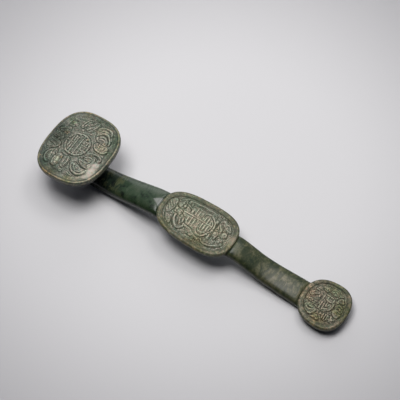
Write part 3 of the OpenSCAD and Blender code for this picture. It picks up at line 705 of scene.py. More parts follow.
middlePlaque = {
    "name": "carved_middle", "node": "middle_plaque",
    "centre": (3.625, 0, 35.5), "tilt": 2.0,
    "length": 98.0, "width": 60.5, "power": 2.9, "taper": 0.056,
    "thick": 5.0, "round": 2.4, "rim": 5.2, "depth": 1.1, "wall": 1.3, "cove": 1.6, "dome": 2.2,
    "wornEdge": 0.15, "grooveShade": 0.18, "cells": 290,
    "shift": (0.2, -0.4), "curls": 0.36,
    "roundel": None,
    "bars": [
        (-7.1, 5.2, 14.0), (-3.4, 5.2, 14.4), (0.8, 5.0, 13.6), (-7.4, -9.6, 0.4), (-3.5, -9.4, 0.4),
        (0.2, -8.4, 0.4), (6.4, 4.6, 10.0), (9.8, 4.6, 12.0), (13.4, 4.6, 9.4), (6.5, -6.6, 0.4),
        (10.0, -6.8, 0.4), (13.6, -5.4, 0.4), (-11.0, 5.2, 9.6), (-11.4, -6.6, -1.0),
    ],
    "rungs": [(2.8, -19.4, 17.0)],
    "bodies": [
        [(-20.6, 12.6), (-14, 11.6), (-11.4, 14.4), (-6, 16.2), (0, 15.8), (3.6, 16), (7, 17), (12, 16),
         (16.6, 13), (20, 8.4), (21, 2), (20, -4), (17.2, -9.4), (13.4, -13.6), (8.4, -15.4), (3.6, -14),
         (0.4, -10.8), (-5, -10.2), (-11, -9.8), (-13.4, -6), (-18, -1.4), (-20.6, 1.4), (-21, 7)],
        [(-27, -4.6), (-24.6, -5), (-23.6, -9), (-21.5, -13), (-18.5, -15.4), (-15.6, -15.6),
         (-13.6, -13.6), (-12.4, -11), (-10.4, -12.6), (-11.4, -16), (-13.6, -18.8), (-17, -20),
         (-20.6, -19.6), (-24, -17), (-26.4, -13), (-27.8, -9)],
        [(13.6, -15), (15.6, -17), (19, -18), (23, -17.8), (27.6, -16.2), (31.4, -13.4), (34.4, -10.6),
         (37.2, -7.4), (38.8, -8.6), (37, -12), (33.6, -15.8), (29, -18.6), (24, -20), (19, -20.2),
         (15.4, -18.6), (13, -16.6)],
        [(30.6, 2), (32, 5.2), (35, 6), (37.8, 4), (38, 0.6), (36, -1.6), (33, -1.8), (31, -0.4)],
        [(-31, 9.4), (-28, 12.6), (-24.6, 12.8), (-21.4, 10.6), (-21, 7), (-24, 4.6), (-28, 4.4),
         (-31, 6.4)],
        [(-30.6, 3.4), (-28, 3.8), (-24, 3.4), (-21.2, 1), (-21.4, -3.4), (-24.4, -4.4), (-27, -2.6),
         (-30, -2.8), (-31.4, 0)],
        [(16.2, 9.6), (18, 8.4), (20.6, 9.4), (21.4, 12), (20, 14.4), (17.4, 14.2), (15.9, 12.2)],
        [(22.6, 4.4), (25, 4.6), (28.4, 3.4), (30, 5.4), (28.6, 9), (25.6, 11.6), (22.6, 12.6),
         (22.4, 8.6)],
        [(16, -6), (18.4, -5.2), (21.4, -6.4), (22.2, -10), (21.4, -12.8), (18.6, -12.6), (16.6, -10)],
        [(22.2, -4), (22.6, 0), (25, 1.6), (28, 0.6), (28.4, -3.4), (27.8, -7.8), (26, -9.2), (24.6, -7)],
        [(22, 14.6), (23, 18), (26.2, 19.8), (30.4, 19), (35, 16.4), (38.6, 12.4), (38.8, 8.4), (35.6, 8.2),
         (31.6, 9.8), (27.4, 12.4), (24, 13)],
        [(-13.6, -10.6), (-8, -10.9), (-2.4, -11.8), (1.6, -14), (5.6, -16.4), (10, -17), (12.2, -18.2),
         (10.6, -19.8), (6.4, -19.6), (1.6, -19.8), (-3.6, -19.2), (-6.4, -16.2), (-9.4, -13.6)],
        [(-42, 2), (-41.6, 8), (-38.6, 12.4), (-34, 12.6), (-32.4, 8), (-32.6, 2), (-33.4, -3), (-36, -7.6),
         (-40, -5.4)],
        [(-38, -9.6), (-34, -8.2), (-30, -8.6), (-28.6, -12), (-27.4, -16), (-27.4, -18.8), (-30, -18.6),
         (-34.4, -15.4), (-37, -12.4)],
        [(-21.6, 15.2), (-21, 19), (-17, 20.4), (-10, 21.8), (-2, 22.4), (6, 22.4), (13, 22), (15.4, 19.6),
         (14.4, 17.4), (9, 18.4), (2, 18.2), (-6, 18.4), (-13, 17), (-18, 14.6)],
        [(30.6, -11.6), (30.4, -7), (32.6, -4), (36.4, -4.6), (37.4, -7.6), (34.4, -10.4), (32, -12.4)],
    ],
    "ridges": [
        (1.8, [(-46.7, 11.5), (-47.4, 1.5), (-45.4, -5.6), (-41.7, -13.5), (-38.1, -17)]),
        (2.0, [(-43, -3.5), (-40.6, -9.6), (-38, -13.6)]),
        (2.2, [(-38.5, -16.6), (-35, -18), (-31.7, -19.2)]),
        (1.2, [(-40, 6), (-37.6, 3.4), (-35, 1)]),
        (1.2, [(-38.6, 9), (-36, 6), (-33.8, 3.6)]),
        (1.2, [(-40.4, 2), (-38, -1), (-36.4, -3.6)]),
        (1.6, [(-29.8, 8.8), (-27.6, 10.4), (-26, 11.6)]),
        (1.8, [(-24, -0.4), (-22.8, -2), (-22.6, -3.6)]),
        (2.2, [(-26.4, -5.8), (-25.8, -9), (-24.4, -12.2), (-22, -15.8), (-18.8, -18.2), (-15.4, -18.4),
               (-12.8, -16.4), (-11.4, -13.6)]),
        (1.6, [(-19.6, -6.7), (-18.3, -10.2), (-16.8, -12.4)]),
        (1.4, [(-35.6, -10.4), (-32, -11), (-30, -14)]),
        (1.6, [(-20.3, 12.9), (-15.3, 10.8), (-12.6, 9.6), (-12.2, 6)]),
        (1.6, [(-11, 14.2), (-8.1, 15.6), (-5.2, 15.6), (-3.6, 14.4)]),
        (1.8, [(1.9, -2), (2.2, -8.3), (4, -11.8), (7.4, -13.8), (11.1, -13.8), (14, -11.8), (15.8, -8.8),
               (17.6, -4.9)]),
        (1.4, [(4.4, -6.4), (6.1, -9), (9, -9.8), (11.4, -8.8)]),
        (1.8, [(2.6, 11.5), (4, 14.2), (6.9, 15.3), (10.4, 14.9), (13.3, 13.2), (16.1, 11.3), (18, 8.5),
               (19.4, 5), (19.7, 2)]),
        (1.4, [(14.7, 8.4), (16.9, 5.4), (17.4, 1.5), (16.5, -2.4)]),
        (2.4, [(-12.4, -11.6), (-7, -12.4), (-2, -13.6), (1.9, -15.6), (6.1, -17.8)]),
        (2.0, [(14.4, -16.2), (16.5, -18.2), (19.7, -19), (23.3, -18.7), (27.6, -17.2), (31.1, -14.7),
               (34, -12.4)]),
        (1.6, [(24.2, 10), (26.6, 7.6), (28.8, 5.2)]),
        (1.4, [(23.4, 7.4), (24.6, 5.6)]),
        (1.6, [(31, 15.6), (34.6, 14.4), (37, 11.4)]),
        (1.6, [(25, 16.4), (28.4, 16.6), (30.4, 14.6)]),
        (1.7, [(19.2, -6.4), (20, -9.2), (19.6, -11.6)]),
        (1.7, [(26.6, -4.6), (26.6, -7.8)]),
        (1.4, [(32.4, -6), (35, -6.6)]),
        (1.4, [(-19, 18), (-13, 19.6), (-7, 19.8), (-1, 20.6), (5, 20), (11, 20.6)]),
        (1.6, [(15.4, 22.6), (15.6, 19.4)]),
        (1.4, [(-24, 18.6), (-28, 16.6), (-32, 15.6)]),
    ],
    "grooves": [
        (1.3, [(-44.9, -1.4), (-43.9, -7.4), (-39.8, -14), (-35.3, -17)]),
        (1.3, [(-24.8, -6.4), (-24, -10), (-22.6, -12.2)]),
        (1.2, [(-20.3, -10.6), (-18.9, -13.4), (-16.7, -14.9), (-15.4, -13.4)]),
        (1.2, [(-22.4, 0.4), (-20.2, -0.6)]),
        (1.1, [(-16.7, -2.8), (-13.1, -3.6)]),
        (1.2, [(-20.3, 11.3), (-15.3, 9.2), (-13.4, 7.4)]),
        (1.2, [(3.6, 8.6), (4.4, 12), (6.9, 13.4), (9.7, 13.3), (12.6, 11.7), (15.4, 9.8), (17.4, 7.4),
               (18.2, 3), (17.6, -2), (15.4, -6.8)]),
        (1.2, [(3.3, -7.8), (5.4, -10.9), (8.3, -11.9), (11.9, -11.2), (13.6, -9.6)]),
        (1.3, [(31.1, 7.4), (34.7, 6.9), (37.8, 6)]),
        (1.2, [(24.8, 7.2), (27, 4.8)]),
        (1.3, [(27.6, 21), (29.7, 18.8)]),
        (1.2, [(16.3, 19.4), (16.2, 15.4)]),
        (1.2, [(23.6, 14), (27, 14.6)]),
    ],
    "beads": [
        (-26, 11.4, 1.6), (-27.8, 7.4, 2.4), (-22.4, 8.6, 1.7), (-29.2, 1.4, 1.8), (-19.9, 17.9, 1.6),
        (-15.2, -7.8, 1.4), (-11.7, -5.4, 1.4), (18.6, 11.6, 2.2), (26.5, 16.9, 1.8), (17.2, 21, 1.7),
        (34.6, 2.2, 3.2), (24.4, -1.6, 2.0), (36.2, -17, 2.0), (1.5, -18.7, 1.4), (5.8, -19.4, 1.3),
        (-3.5, -18, 1.4), (10.6, -19, 1.5), (17.4, -8.4, 1.2), (-36.2, -21, 1.5), (6, -22.8, 1.3),
        (33.4, -8.2, 1.5), (-16.4, 15.6, 1.6), (22.6, 20.8, 1.3), (40, -12, 1.4),
    ],
    "pits": [
        (-24.6, 9, 1.2), (-28.2, -1, 1.1), (21.4, 8.8, 1.3), (-1.9, -23, 1.2), (-3.4, -15.2, 1.0),
        (30, 10.6, 1.1), (-4.6, -20.6, 1.0), (-12, 17.2, 1.1), (34.6, 2.2, 0.9), (9.6, -21.6, 1.2),
        (29.4, -2.6, 1.2),
    ],
}

tailPlaque = {
    "name": "carved_tail", "node": "tail_plaque",
    "centre": (173.625, 0, 16.0), "tilt": 0.5,
    "length": 57.5, "width": 59.5, "power": 2.45, "taper": 0.056,
    "thick": 5.0, "round": 2.2, "rim": 4.8, "depth": 1.1, "wall": 1.3, "cove": 1.6, "dome": 2.0,
    "wornEdge": 0.15, "grooveShade": 0.18, "cells": 240,
    "shift": (0.4, 0.8), "curls": 0.36,
    "roundel": None,
    "bars": [(-4.3, 3.0, 10.0), (-3.0, -8.4, -0.8), (0.6, 4.4, 9.6), (7.6, 4.4, 8.4)],
    "rungs": [(3.4, 2.0, 8.4), (10.0, -2.0, 6.0)],
    "bodies": [
        [(-6, 11), (-1, 11.8), (4, 11.2), (8.4, 9), (10.6, 5), (10.8, 0), (10, -4), (7.4, -7.8),
         (3.6, -9.8), (0, -9.8), (-3.6, -9.6), (-5, -5), (-6.2, 0), (-6.4, 6)],
        [(-21.6, 4.6), (-19.6, 7), (-16.4, 8.6), (-12.6, 8.6), (-9.4, 7), (-8, 4.6), (-9.6, 3.8),
         (-11.6, 5), (-14.4, 3.2), (-17, 1.6), (-19.6, 1.6)],
        [(-18.4, -9.6), (-18.6, -14), (-15.8, -18), (-12.4, -20.6), (-8.4, -20.4), (-5, -18), (-3.8, -14.6),
         (-4, -11.4), (-7.4, -9.6), (-11.6, -8.6), (-15, -7.8)],
        [(4, -12), (5.6, -10.8), (9, -10.4), (12.4, -11), (13.4, -14), (12, -17.6), (9.2, -18.8), (6, -18),
         (4.2, -15.4)],
        [(12.4, -4.6), (13.6, -7.6), (16.2, -9), (19.6, -9.4), (21.8, -7.6), (22.4, -3.6), (21.8, 1),
         (21, 5.4), (18, 7.4), (14, 6.6), (12.2, 3.4), (13.4, 0)],
        [(-8.4, 14.4), (-3.4, 13.6), (-1.6, 16.4), (-3.4, 20.4), (-7.6, 20.6), (-10.8, 18)],
        [(0.4, 14.6), (5, 13.6), (8.6, 15.4), (8.4, 19.4), (4.6, 22), (0.6, 21.4), (-0.6, 18)],
        [(-17.4, 11), (-13.4, 10.4), (-10.4, 12.4), (-11.8, 15.8), (-15, 15.6)],
        [(-19.6, -2), (-15, -1), (-11.6, 0.6), (-9, 0.4), (-8, -3), (-9.6, -6), (-14, -6.2), (-18.4, -5.6)],
        [(11, 10), (14.4, 9), (18.4, 9.4), (19, 12.6), (15.6, 15.6), (12, 14.6)],
        [(-7.6, -22), (-4, -23.4), (1, -23.6), (3.6, -21.4), (2, -18.6), (-1.6, -16.4), (-3.4, -19)],
        [(14.6, -11.6), (18.4, -11), (20.4, -13), (18.6, -16.4), (15.4, -17.4), (13.6, -15)],
    ],
    "ridges": [
        (1.6, [(-24.1, 6.6), (-24.3, 1), (-23.6, -3.6)]),
        (2.2, [(-17.6, 3.4), (-14.4, 5.2), (-11.6, 6.8)]),
        (1.4, [(-19.6, 5.6), (-16.4, 7.4)]),
        (1.8, [(0, -2), (0.4, -7.2), (1.2, -8), (3.8, -6.8), (6.3, -5), (7.4, -2.6)]),
        (1.4, [(2.8, 1), (3, -3.2), (4.8, -2.6)]),
        (1.8, [(9.4, 4), (9.8, 0), (9, -3.4), (6.8, -6.8)]),
        (2.6, [(13.4, -4.5), (14.3, -6.6), (16.3, -7.6), (18.8, -7.9), (20.5, -7), (21.3, -4.6)]),
        (1.4, [(13.6, 4.4), (16.4, 5.8), (19.6, 4.8)]),
        (1.4, [(13.8, 1.4), (16.6, 2.4), (20, 1.6)]),
        (1.4, [(14, -1.6), (17, -1), (20.4, -1.6)]),
        (1.4, [(5.6, -12), (5.8, -17)]),
        (1.4, [(8.2, -11.6), (8.4, -17.6)]),
        (1.4, [(11, -12), (11, -16.8)]),
        (2.0, [(-14.8, -18), (-12, -19.4), (-8.4, -18.8), (-5.8, -16.4), (-4.8, -13.4)]),
        (1.6, [(-15.6, -10.4), (-12, -12), (-9.4, -11)]),
        (1.4, [(-16.2, -13.6), (-12.8, -15.4), (-9.4, -14.6)]),
        (1.4, [(-18, -3.4), (-13.6, -2.8), (-10.4, -3.6)]),
        (1.6, [(12.6, 12.6), (15, 14), (17.4, 11.6)]),
        (1.4, [(-9, 16.6), (-5.6, 18.4), (-3, 16)]),
        (1.4, [(1.6, 16), (4, 18.6), (7, 17.4)]),
        (1.4, [(-15.6, 13.6), (-12.4, 13)]),
        (1.4, [(-14.6, -21.4), (-10.4, -23.4)]),
        (1.4, [(17.6, 16), (20.4, 12.6)]),
    ],
    "grooves": [
        (1.4, [(-9.9, -1.2), (-7.2, -1.2)]),
        (1.3, [(-1.3, -0.7), (-0.9, -8.4)]),
        (1.3, [(1.4, 2.4), (1.5, -4.2), (3.8, -4.5), (5.9, -2)]),
        (1.4, [(3.6, 1.8), (7.2, 2.4)]),
        (1.3, [(2.2, 8.8), (4.7, 7.2)]),
        (1.4, [(12.2, 14.8), (15.1, 17.2)]),
        (1.4, [(11.3, 0.8), (12.6, -0.8)]),
        (1.2, [(7, -12), (7, -17.6)]),
        (1.2, [(9.7, -11.8), (9.7, -17.6)]),
        (1.2, [(-14.2, -12.8), (-11, -13.6)]),
        (1.2, [(-2, 4.4), (-0.8, 3.2)]),
        (1.2, [(16, -3.6), (18.6, -4.4)]),
    ],
    "beads": [
        (-18.2, 5.2, 1.4), (-9.2, 3.8, 1.3), (-5.4, -3.4, 1.3), (12.2, 8, 1.7), (18, 11, 1.4),
        (18.8, 1.4, 1.4), (2.4, -13.4, 1.6), (14.7, -11.8, 1.5), (-0.1, -17.6, 1.7), (-3.8, -21, 1.8),
        (1.1, -21.7, 1.4), (3.2, 3.6, 1.2), (1.8, 20.4, 1.7), (-6.2, 16.8, 1.4), (15.5, -3, 1.6),
        (-20.6, -4, 1.6), (16.6, -14.4, 1.6), (-13.6, -4, 1.3), (9, 12.4, 1.2), (8, -1.2, 1.1),
    ],
    "pits": [
        (-5.8, 6.5, 1.1), (-4.6, -2, 1.0), (-4.9, -5.6, 1.1), (5.5, -23.4, 1.3), (17.2, -17.8, 1.3),
        (18.5, -4.6, 1.1), (-18.9, 0.6, 1.2), (-11.4, 10.2, 1.1), (2.2, 12.6, 1.1), (8, 12.9, 1.0),
        (-12.8, -9.4, 1.1),
    ],
}

relief = {  # mm, the same on the three plaques
    "edgeRings": 7,  # rings of cells round the rounded edge
    "lipHeight": 0.2,
    "lipPitch": 1.1,  # spacing of the fine lines on the rim, and their depth
    "lipDepth": 0.08,
    "grooveAt": 0.6,  # past the rim
    "backBevel": 0.4,
    "bodySteps": 4,  # points of the outline for each one given
    "bodyHeight": 0.35,
    "bodyStep": 0.8,  # width of the step at the outline of a raised form
    "swell": 0.75,  # what a form swells by past its step, and over what reach
    "swellReach": 2.0,
    "outline": 0.36,  # depth and width of the cut along the outline
    "outlineWidth": 0.5,
    "cover": 1.4,  # what a form keeps free of scrolls round it
    "bodyMargin": 2.4,
    "ridgeHeight": 0.60,
    "ridgeHalf": 0.55,  # of a ridge's width
    "ridgeCover": 1.6,
    "moat": 0.20,  # depth of the cut along each side of a ridge, where it is and its width
    "moatAt": 0.25,
    "moatWidth": 0.4,
    "moatMargin": 1.4,
    "fretWidth": 1.7,
    "beadHeight": 0.80,
    "beadWidth": 1.8,
    "grooveDepth": 0.75,
    "grooveHalf": 0.7,  # of a groove's width
    "grooveReach": 1.15,
    "pitDepth": 1.1,
    "roundelHeight": 1.4,
    "outlineEnd": 0.2,  # no cut further in than this
    "ringAt": 1.5,  # the ring inside the medallion's edge
    "ringHalf": 0.9,
    "ringHeight": 0.7,
    "ringCutAt": 3.1,  # and the cut inside the ring
    "ringCutWidth": 0.6,
    "ringCut": 0.8,
    "curlPitch": 2.3,
    "curlSpace": 5.6,
    "curlRow": 0.87,  # of that space, from row to row
    "curlStray": 0.22,
    "curlTurn": (2.4, 4.1, 1.7),  # radians a row and a column, which keep them from repeating
    "curlRows": 10,  # each way from the middle
    "curlEdge": 0.9,  # width of the cut between two scrolls
    "curlReach": 62,
    "curlFade": (-0.8, 0.8),  # across the edge of the field
    "carvingFade": (0.3, 1.8),  # past the groove
    "wear": 0.16,
    "waves": (0.9, 1.7, 2.9),  # radians a mm
    "waveBend": 2,
    "waveRates": (0.7, 1.1, 0.8),
    "wearFade": 2.0,
    "rimWear": 0.6,  # of the wear, on the rim
    "rimFade": 1.5,
}

shading = {  # how the carving tints the stone: grime and painted shade in the hollows, wear and painted highlight on the tops
    "blur": 4,  # cells
    "cavity": 0.34,  # mm
    "flat": 0.42,
    "byCavity": 0.36,
    "byHeight": 0.05,
    "grooveWidth": 0.55,
    "fieldWidth": 0.7,
    "fieldShare": 0.5,
    "edgeWidth": 0.5,
    "bandFade": 0.6,
    "sharp": 40,  # degrees
}


def smoothLine(points, closed=False, steps=6):  # a curve through the points
    knots = np.array(points, float)
    if closed:
        knots = np.vstack([knots[-1], knots, knots[0], knots[1]])
    else:
        knots = np.vstack([2 * knots[0] - knots[1], knots, 2 * knots[-1] - knots[-2]])
    curve = []
    for before, start, end, after in zip(knots[:-3], knots[1:-2], knots[2:-1], knots[3:]):
        for share in np.arange(steps) / steps:
            bend = (2 * before - 5 * start + 4 * end - after) * share**2
            twist = (3 * start - before - 3 * end + after) * share**3
            curve.append(0.5 * (2 * start + (end - before) * share + bend + twist))
    if not closed:
        curve.append(knots[-2])
    return np.array(curve)


def strokeLine(points):
    return smoothLine(points) if len(points) > 2 else np.array(points, float)


def dot(x, y):  # a stroke of almost no length
    return [(x, y), (x, y + 0.01)]


def distanceTo(x, y, line, closed=False):
    ends = np.roll(line, -1, axis=0) if closed else line[1:]
    best = np.full(x.shape, 1e9)
    for (ax, ay), (bx, by) in zip(line, ends):
        dx, dy = bx - ax, by - ay
        t = np.clip(((x - ax) * dx + (y - ay) * dy) / max(dx * dx + dy * dy, 1e-9), 0, 1)
        best = np.minimum(best, (x - ax - t * dx) ** 2 + (y - ay - t * dy) ** 2)
    return np.sqrt(best)


def near(x, y, line, margin):
    low, high = line.min(axis=0) - margin, line.max(axis=0) + margin
    return np.flatnonzero((x > low[0]) & (x < high[0]) & (y > low[1]) & (y < high[1]))


def insideOf(x, y, line):
    inside = np.zeros(x.shape, bool)
    for (ax, ay), (bx, by) in zip(line, np.roll(line, -1, axis=0)):
        crosses = (ay > y) != (by > y)
        drop = by - ay if by != ay else 1e-9
        inside ^= crosses & (x < (bx - ax) * (y - ay) / drop + ax)
    return inside


def keepHigher(layer, pick, height):
    layer[pick] = np.maximum(layer[pick], height)


def roundTop(gap, half):  # a round profile, 1 in the middle and 0 at its sides
    return np.sqrt(np.clip(1 - (gap / half) ** 2, 0, 1))


def roll(ridge, cut, x, y, points, width, height):  # a raised round line with a cut along each side
    line = strokeLine(points)
    half = width * relief["ridgeHalf"]
    pick = near(x, y, line, half + relief["moatMargin"])
    gap = distanceTo(x[pick], y[pick], line)
    keepHigher(ridge, pick, height * roundTop(gap, half))
    keepHigher(cut, pick, relief["moat"] * bell(gap - half, relief["moatAt"], relief["moatWidth"]))


def score(groove, x, y, points, width, depth):  # a cut line
    line = strokeLine(points)
    pick = near(x, y, line, width)
    gap = distanceTo(x[pick], y[pick], line)
    half = relief["grooveHalf"] * width
    keepHigher(groove, pick, depth * soft(relief["grooveReach"] - gap / half))


def curls(x, y):  # small cloud scrolls, each wound about its own centre
    space, pitch, stray = relief["curlSpace"], relief["curlPitch"], relief["curlStray"]
    rowTurn, columnTurn, backTurn = relief["curlTurn"]
    best, second = np.full(x.shape, 1e9), np.full(x.shape, 1e9)
    wave = np.zeros(x.shape)
    rows = range(-relief["curlRows"], relief["curlRows"] + 1)
    for row in rows:
        for column in rows:
            turn = row * rowTurn + column * columnTurn
            cx = (column + row % 2 / 2 + stray * math.sin(turn)) * space
            cy = (row * relief["curlRow"] + stray * math.cos(turn * backTurn)) * space
            if np.hypot(cx, cy) > relief["curlReach"]:
                continue
            dx, dy = x - cx, y - cy
            gap = np.hypot(dx, dy)
            hand = 1 if (row + column) % 2 else -1
            closer = gap < best
            second = np.where(closer, best, np.minimum(second, gap))
            spiral = np.cos(math.tau * gap / pitch + hand * np.arctan2(dy, dx) + turn)
            wave = np.where(closer, spiral, wave)
            best = np.where(closer, gap, best)
    return (0.5 + 0.5 * wave) * soft((second - best) / relief["curlEdge"])


def outlineCut(gap):
    return relief["outline"] * bell(gap, -relief["outlineWidth"], relief["outlineWidth"])


def raiseBodies(plaque, x, y, body, cut, cover):
    for points in plaque["bodies"]:
        line = smoothLine(points, closed=True, steps=relief["bodySteps"])
        pick = near(x, y, line, relief["bodyMargin"])
        gap = distanceTo(x[pick], y[pick], line, closed=True)
        gap = np.where(insideOf(x[pick], y[pick], line), gap, -gap)
        swell = relief["swell"] * (1 - np.exp(-np.maximum(gap, 0) / relief["swellReach"]))
        keepHigher(body, pick, relief["bodyHeight"] * soft(0.5 + gap / relief["bodyStep"]) + swell)
        keepHigher(cut, pick, outlineCut(gap))
        keepHigher(cover, pick, soft(relief["cover"] + gap))


def raiseRoundel(plaque, x, y, body, ridge, cut, cover):  # the round medallion and the ring inside its edge
    middleX, middleY, halfX, halfY = plaque["roundel"]
    edge = (1 - np.hypot((x - middleX) / halfX, (y - middleY) / halfY)) * halfX
    height = relief["bodyHeight"] * soft(0.5 + edge / relief["bodyStep"]) * relief["roundelHeight"]
    everywhere = slice(None)
    keepHigher(body, everywhere, height)
    keepHigher(cut, everywhere, outlineCut(edge))
    cut[edge > relief["outlineEnd"]] = 0
    keepHigher(cover, everywhere, soft(relief["cover"] + edge))
    ring = relief["ringHeight"] * roundTop(edge - relief["ringAt"], relief["ringHalf"])
    keepHigher(ridge, everywhere, relief["ridgeHeight"] * ring)
    keepHigher(cut, everywhere, relief["ringCut"] * bell(edge, relief["ringCutAt"], relief["ringCutWidth"]))


def carving(plaque, x, y, inset, field):  # height of the relief above its ground, in mm
    body, ridge, groove, cut, cover = (np.zeros(x.shape) for _ in range(5))
    raiseBodies(plaque, x, y, body, cut, cover)
    if plaque["roundel"]:
        raiseRoundel(plaque, x, y, body, ridge, cut, cover)
    strokes = list(plaque["ridges"])
    strokes += [(relief["fretWidth"], [(at, low), (at, high)]) for at, low, high in plaque["bars"]]
    strokes += [(relief["fretWidth"], [(low, at), (high, at)]) for at, low, high in plaque["rungs"]]
    for width, points in strokes:
        roll(ridge, cut, x, y, points, width, relief["ridgeHeight"])
    for beadX, beadY, size in plaque["beads"]:
        roll(ridge, cut, x, y, dot(beadX, beadY), size * relief["beadWidth"], relief["beadHeight"])
    for width, points in plaque["grooves"]:
        score(groove, x, y, points, width, relief["grooveDepth"])
    for pitX, pitY, size in plaque["pits"]:
        score(groove, x, y, dot(pitX, pitY), size, relief["pitDepth"])
    cut = cut * (1 - np.clip(ridge / relief["ridgeHeight"] * relief["ridgeCover"], 0, 1))
    start, end = relief["curlFade"]
    scrolls = plaque["curls"] * curls(x, y) * (1 - cover) * soft((inset - field - start) / (end - start))
    return body + ridge + scrolls - np.maximum(groove, cut)


def wornStone(x, y):  # uneven waves of wear, along and across, each bent by the other
    bend = relief["waveBend"]
    bentAlong, across, bentAcross = relief["waveRates"]
    worn = 0
    for rate in relief["waves"]:
        waveAlong = np.sin(x * rate + bend * np.sin(y * rate * bentAlong + rate))
        waveAcross = np.cos(y * rate * across + bend * np.sin(x * rate * bentAcross))
        worn = worn + waveAlong * waveAcross
    return worn


def blurred(level, cells):  # the mean over a square of cells, one way and then the other
    size = 2 * cells + 1
    for _ in range(2):
        padded = np.pad(level, [(cells, cells), (0, 0)], mode="edge")
        total = np.cumsum(np.insert(padded, 0, 0, axis=0), axis=0)
        level = ((total[size:] - total[:-size]) / size).T
    return level


def squareRings(gridX, gridY, rings):  # which ring a point is on, from 0 at the edge, and its angle round
    ring = np.maximum(np.abs(gridX), np.abs(gridY))
    safe = np.where(ring > 1e-6, ring, 1)
    ringX, ringY = gridX / safe, gridY / safe
    angle = np.where(
        np.abs(gridX) >= np.abs(gridY),
        np.where(ringX > 0, ringY * math.pi / 4, math.pi - ringY * math.pi / 4),
        np.where(ringY > 0, math.pi / 2 - ringX * math.pi / 4, ringX * math.pi / 4 - math.pi / 2),
    )
    return rings - np.rint(ring * rings), angle


def ovalRings(plaque, step, angle, rings, groove, field):  # each square ring becomes one of the squared oval
    edgeRings, rounding, power = relief["edgeRings"], plaque["round"], plaque["power"]
    halfX, halfY = plaque["length"] / 2, plaque["width"] / 2
    reach = min(halfX, halfY)
    quarter = np.clip(step / edgeRings, 0, 1) * math.pi / 2
    past = np.clip((step - edgeRings) / (rings - edgeRings), 0, 1)
    rounded = rounding * (1 - np.cos(quarter))
    inset = np.where(step <= edgeRings, rounded, rounding + past * (reach - rounding))
    level = np.clip(inset, 0, field)
    shrink = np.clip((reach - inset) / (reach - field), 0, 1)
    cosine, sine = np.cos(angle), np.sin(angle)
    share = np.abs(cosine / (halfX - level)) ** power + np.abs(sine / (halfY - level)) ** power
    radius = share ** (-1 / power) * shrink
    moved = soft((inset - rounding) / (groove - rounding))
    x = radius * cosine + plaque["shift"][0] * moved
    y = radius * sine * (1 + plaque["taper"] * 2 * radius * cosine / plaque["length"])
    return x, y + plaque["shift"][1] * moved, inset, shrink, quarter


def plaqueHeights(plaque, x, y, inset, shrink, quarter, groove, field):  # from the rim to the dome
    rounding, rim = plaque["round"], plaque["rim"]
    across = np.clip((inset - rounding) / (rim - rounding), 0, 1)
    lines = round((rim - rounding) / relief["lipPitch"])
    fineLines = relief["lipDepth"] * (1 - np.cos(math.tau * lines * across))
    lip = relief["lipHeight"] * np.sin(np.pi * across) - fineLines
    z = np.where(inset >= rounding, lip, rounding * (np.sin(quarter) - 1))
    z = np.where(inset >= rim, -plaque["depth"] * soft((inset - rim) / plaque["wall"]), z)
    z = z + plaque["dome"] * (1 - shrink**2) * (inset > field)
    start, end = relief["carvingFade"]
    height = carving(plaque, x, y, inset, field) * soft((inset - groove - start) / (end - start))
    worn = relief["wear"] * wornStone(x, y)
    inner = soft((inset - groove) / relief["wearFade"])
    height = height + worn * inner
    return z + height + relief["rimWear"] * worn * (1 - inner) * soft(inset / relief["rimFade"]), height


# grime and painted shade in the hollows and the groove, wear and painted highlight on the tops
def carvingTintsAndShade(plaque, inset, height, groove, field):
    side = plaque["cells"] + 1
    level = height.reshape(side, side)
    cavity = (level - blurred(level, shading["blur"])) / shading["cavity"]
    wearAndShade = shading["flat"] + shading["byCavity"] * cavity + shading["byHeight"] * level
    wearAndShade = np.clip(wearAndShade, 0, 1).reshape(-1)
    # grime and painted shade in the groove inside the rim and at the foot of the cove
    grooveShade = bell(inset, groove, shading["grooveWidth"])
    grooveShade = grooveShade + shading["fieldShare"] * bell(inset, field, shading["fieldWidth"])
    edgeWear = bell(inset, plaque["round"], shading["edgeWidth"])
    wearAndShade = np.clip(wearAndShade + plaque["wornEdge"] * edgeWear - plaque["grooveShade"] * grooveShade, 0, 1)
    rimBand = 1 - soft((inset - plaque["rim"]) / (groove - plaque["rim"] + shading["bandFade"]))
    return {"wearAndShade": wearAndShade, "rimBand": rimBand}


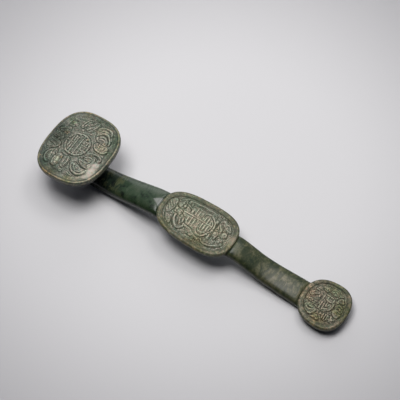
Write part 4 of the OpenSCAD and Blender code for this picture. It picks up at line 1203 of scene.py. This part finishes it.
def addBack(plaque):  # the side wall, the bevel round the back and the back
    bevel = relief["backBevel"]
    halfX, halfY = plaque["length"] / 2, plaque["width"] / 2
    drop = plaque["round"] + bevel - plaque["thick"]
    bpy.ops.object.mode_set(mode="EDIT")
    bpy.ops.mesh.select_all(action="DESELECT")
    bpy.ops.mesh.select_mode(type="EDGE")
    bpy.ops.mesh.select_non_manifold(extend=False)
    bpy.ops.mesh.extrude_region_move(TRANSFORM_OT_translate={"value": (0, 0, drop)})
    bpy.ops.mesh.extrude_region_move(TRANSFORM_OT_translate={"value": (0, 0, -bevel)})
    bpy.ops.transform.resize(value=(1 - bevel / halfX, 1 - bevel / halfY, 1), center_override=(0, 0, 0))
    bpy.ops.mesh.edge_face_add()
    bpy.ops.mesh.select_all(action="SELECT")
    bpy.ops.mesh.normals_make_consistent(inside=False)
    bpy.ops.object.mode_set(mode="OBJECT")


def carvedPlaque(plaque):
    cells = plaque["cells"]
    deselect()
    bpy.ops.mesh.primitive_grid_add(x_subdivisions=cells, y_subdivisions=cells, size=2)
    piece = bpy.context.active_object
    piece.name = plaque["name"]
    mesh = piece.data
    mesh.name = plaque["name"]
    places = np.empty(len(mesh.vertices) * 3)
    mesh.vertices.foreach_get("co", places)
    places = places.reshape(-1, 3)
    groove = plaque["rim"] + relief["grooveAt"]
    field = groove + plaque["cove"]
    rings = cells // 2
    step, angle = squareRings(places[:, 0], places[:, 1], rings)
    x, y, inset, shrink, quarter = ovalRings(plaque, step, angle, rings, groove, field)
    z, height = plaqueHeights(plaque, x, y, inset, shrink, quarter, groove, field)
    mesh.vertices.foreach_set("co", np.stack([x, y, z], axis=1).reshape(-1))
    for label, values in carvingTintsAndShade(plaque, inset, height, groove, field).items():
        layer = mesh.attributes.new(label, "FLOAT", "POINT")
        layer.data.foreach_set("value", values.astype(np.float32))
    mesh.update()
    addBack(plaque)
    turn = Matrix.Rotation(math.radians(plaque["tilt"]), 4, "Y")
    mesh.transform(Matrix.Scale(mm, 4) @ Matrix.Translation(plaque["centre"]) @ turn)
    bpy.ops.object.shade_smooth_by_angle(angle=math.radians(shading["sharp"]))
    stone = paleJade[plaque["node"]]
    mesh.materials.append(paleJadeMaterial(plaque["name"] + "_jade", stone, plaque["centre"]))
    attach(piece, "root")
    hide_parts(plaque["node"])
    print(plaque["name"], "ready,", len(mesh.polygons), "faces")


for plaque in (headPlaque, middlePlaque, tailPlaque):
    carvedPlaque(plaque)

deselect()
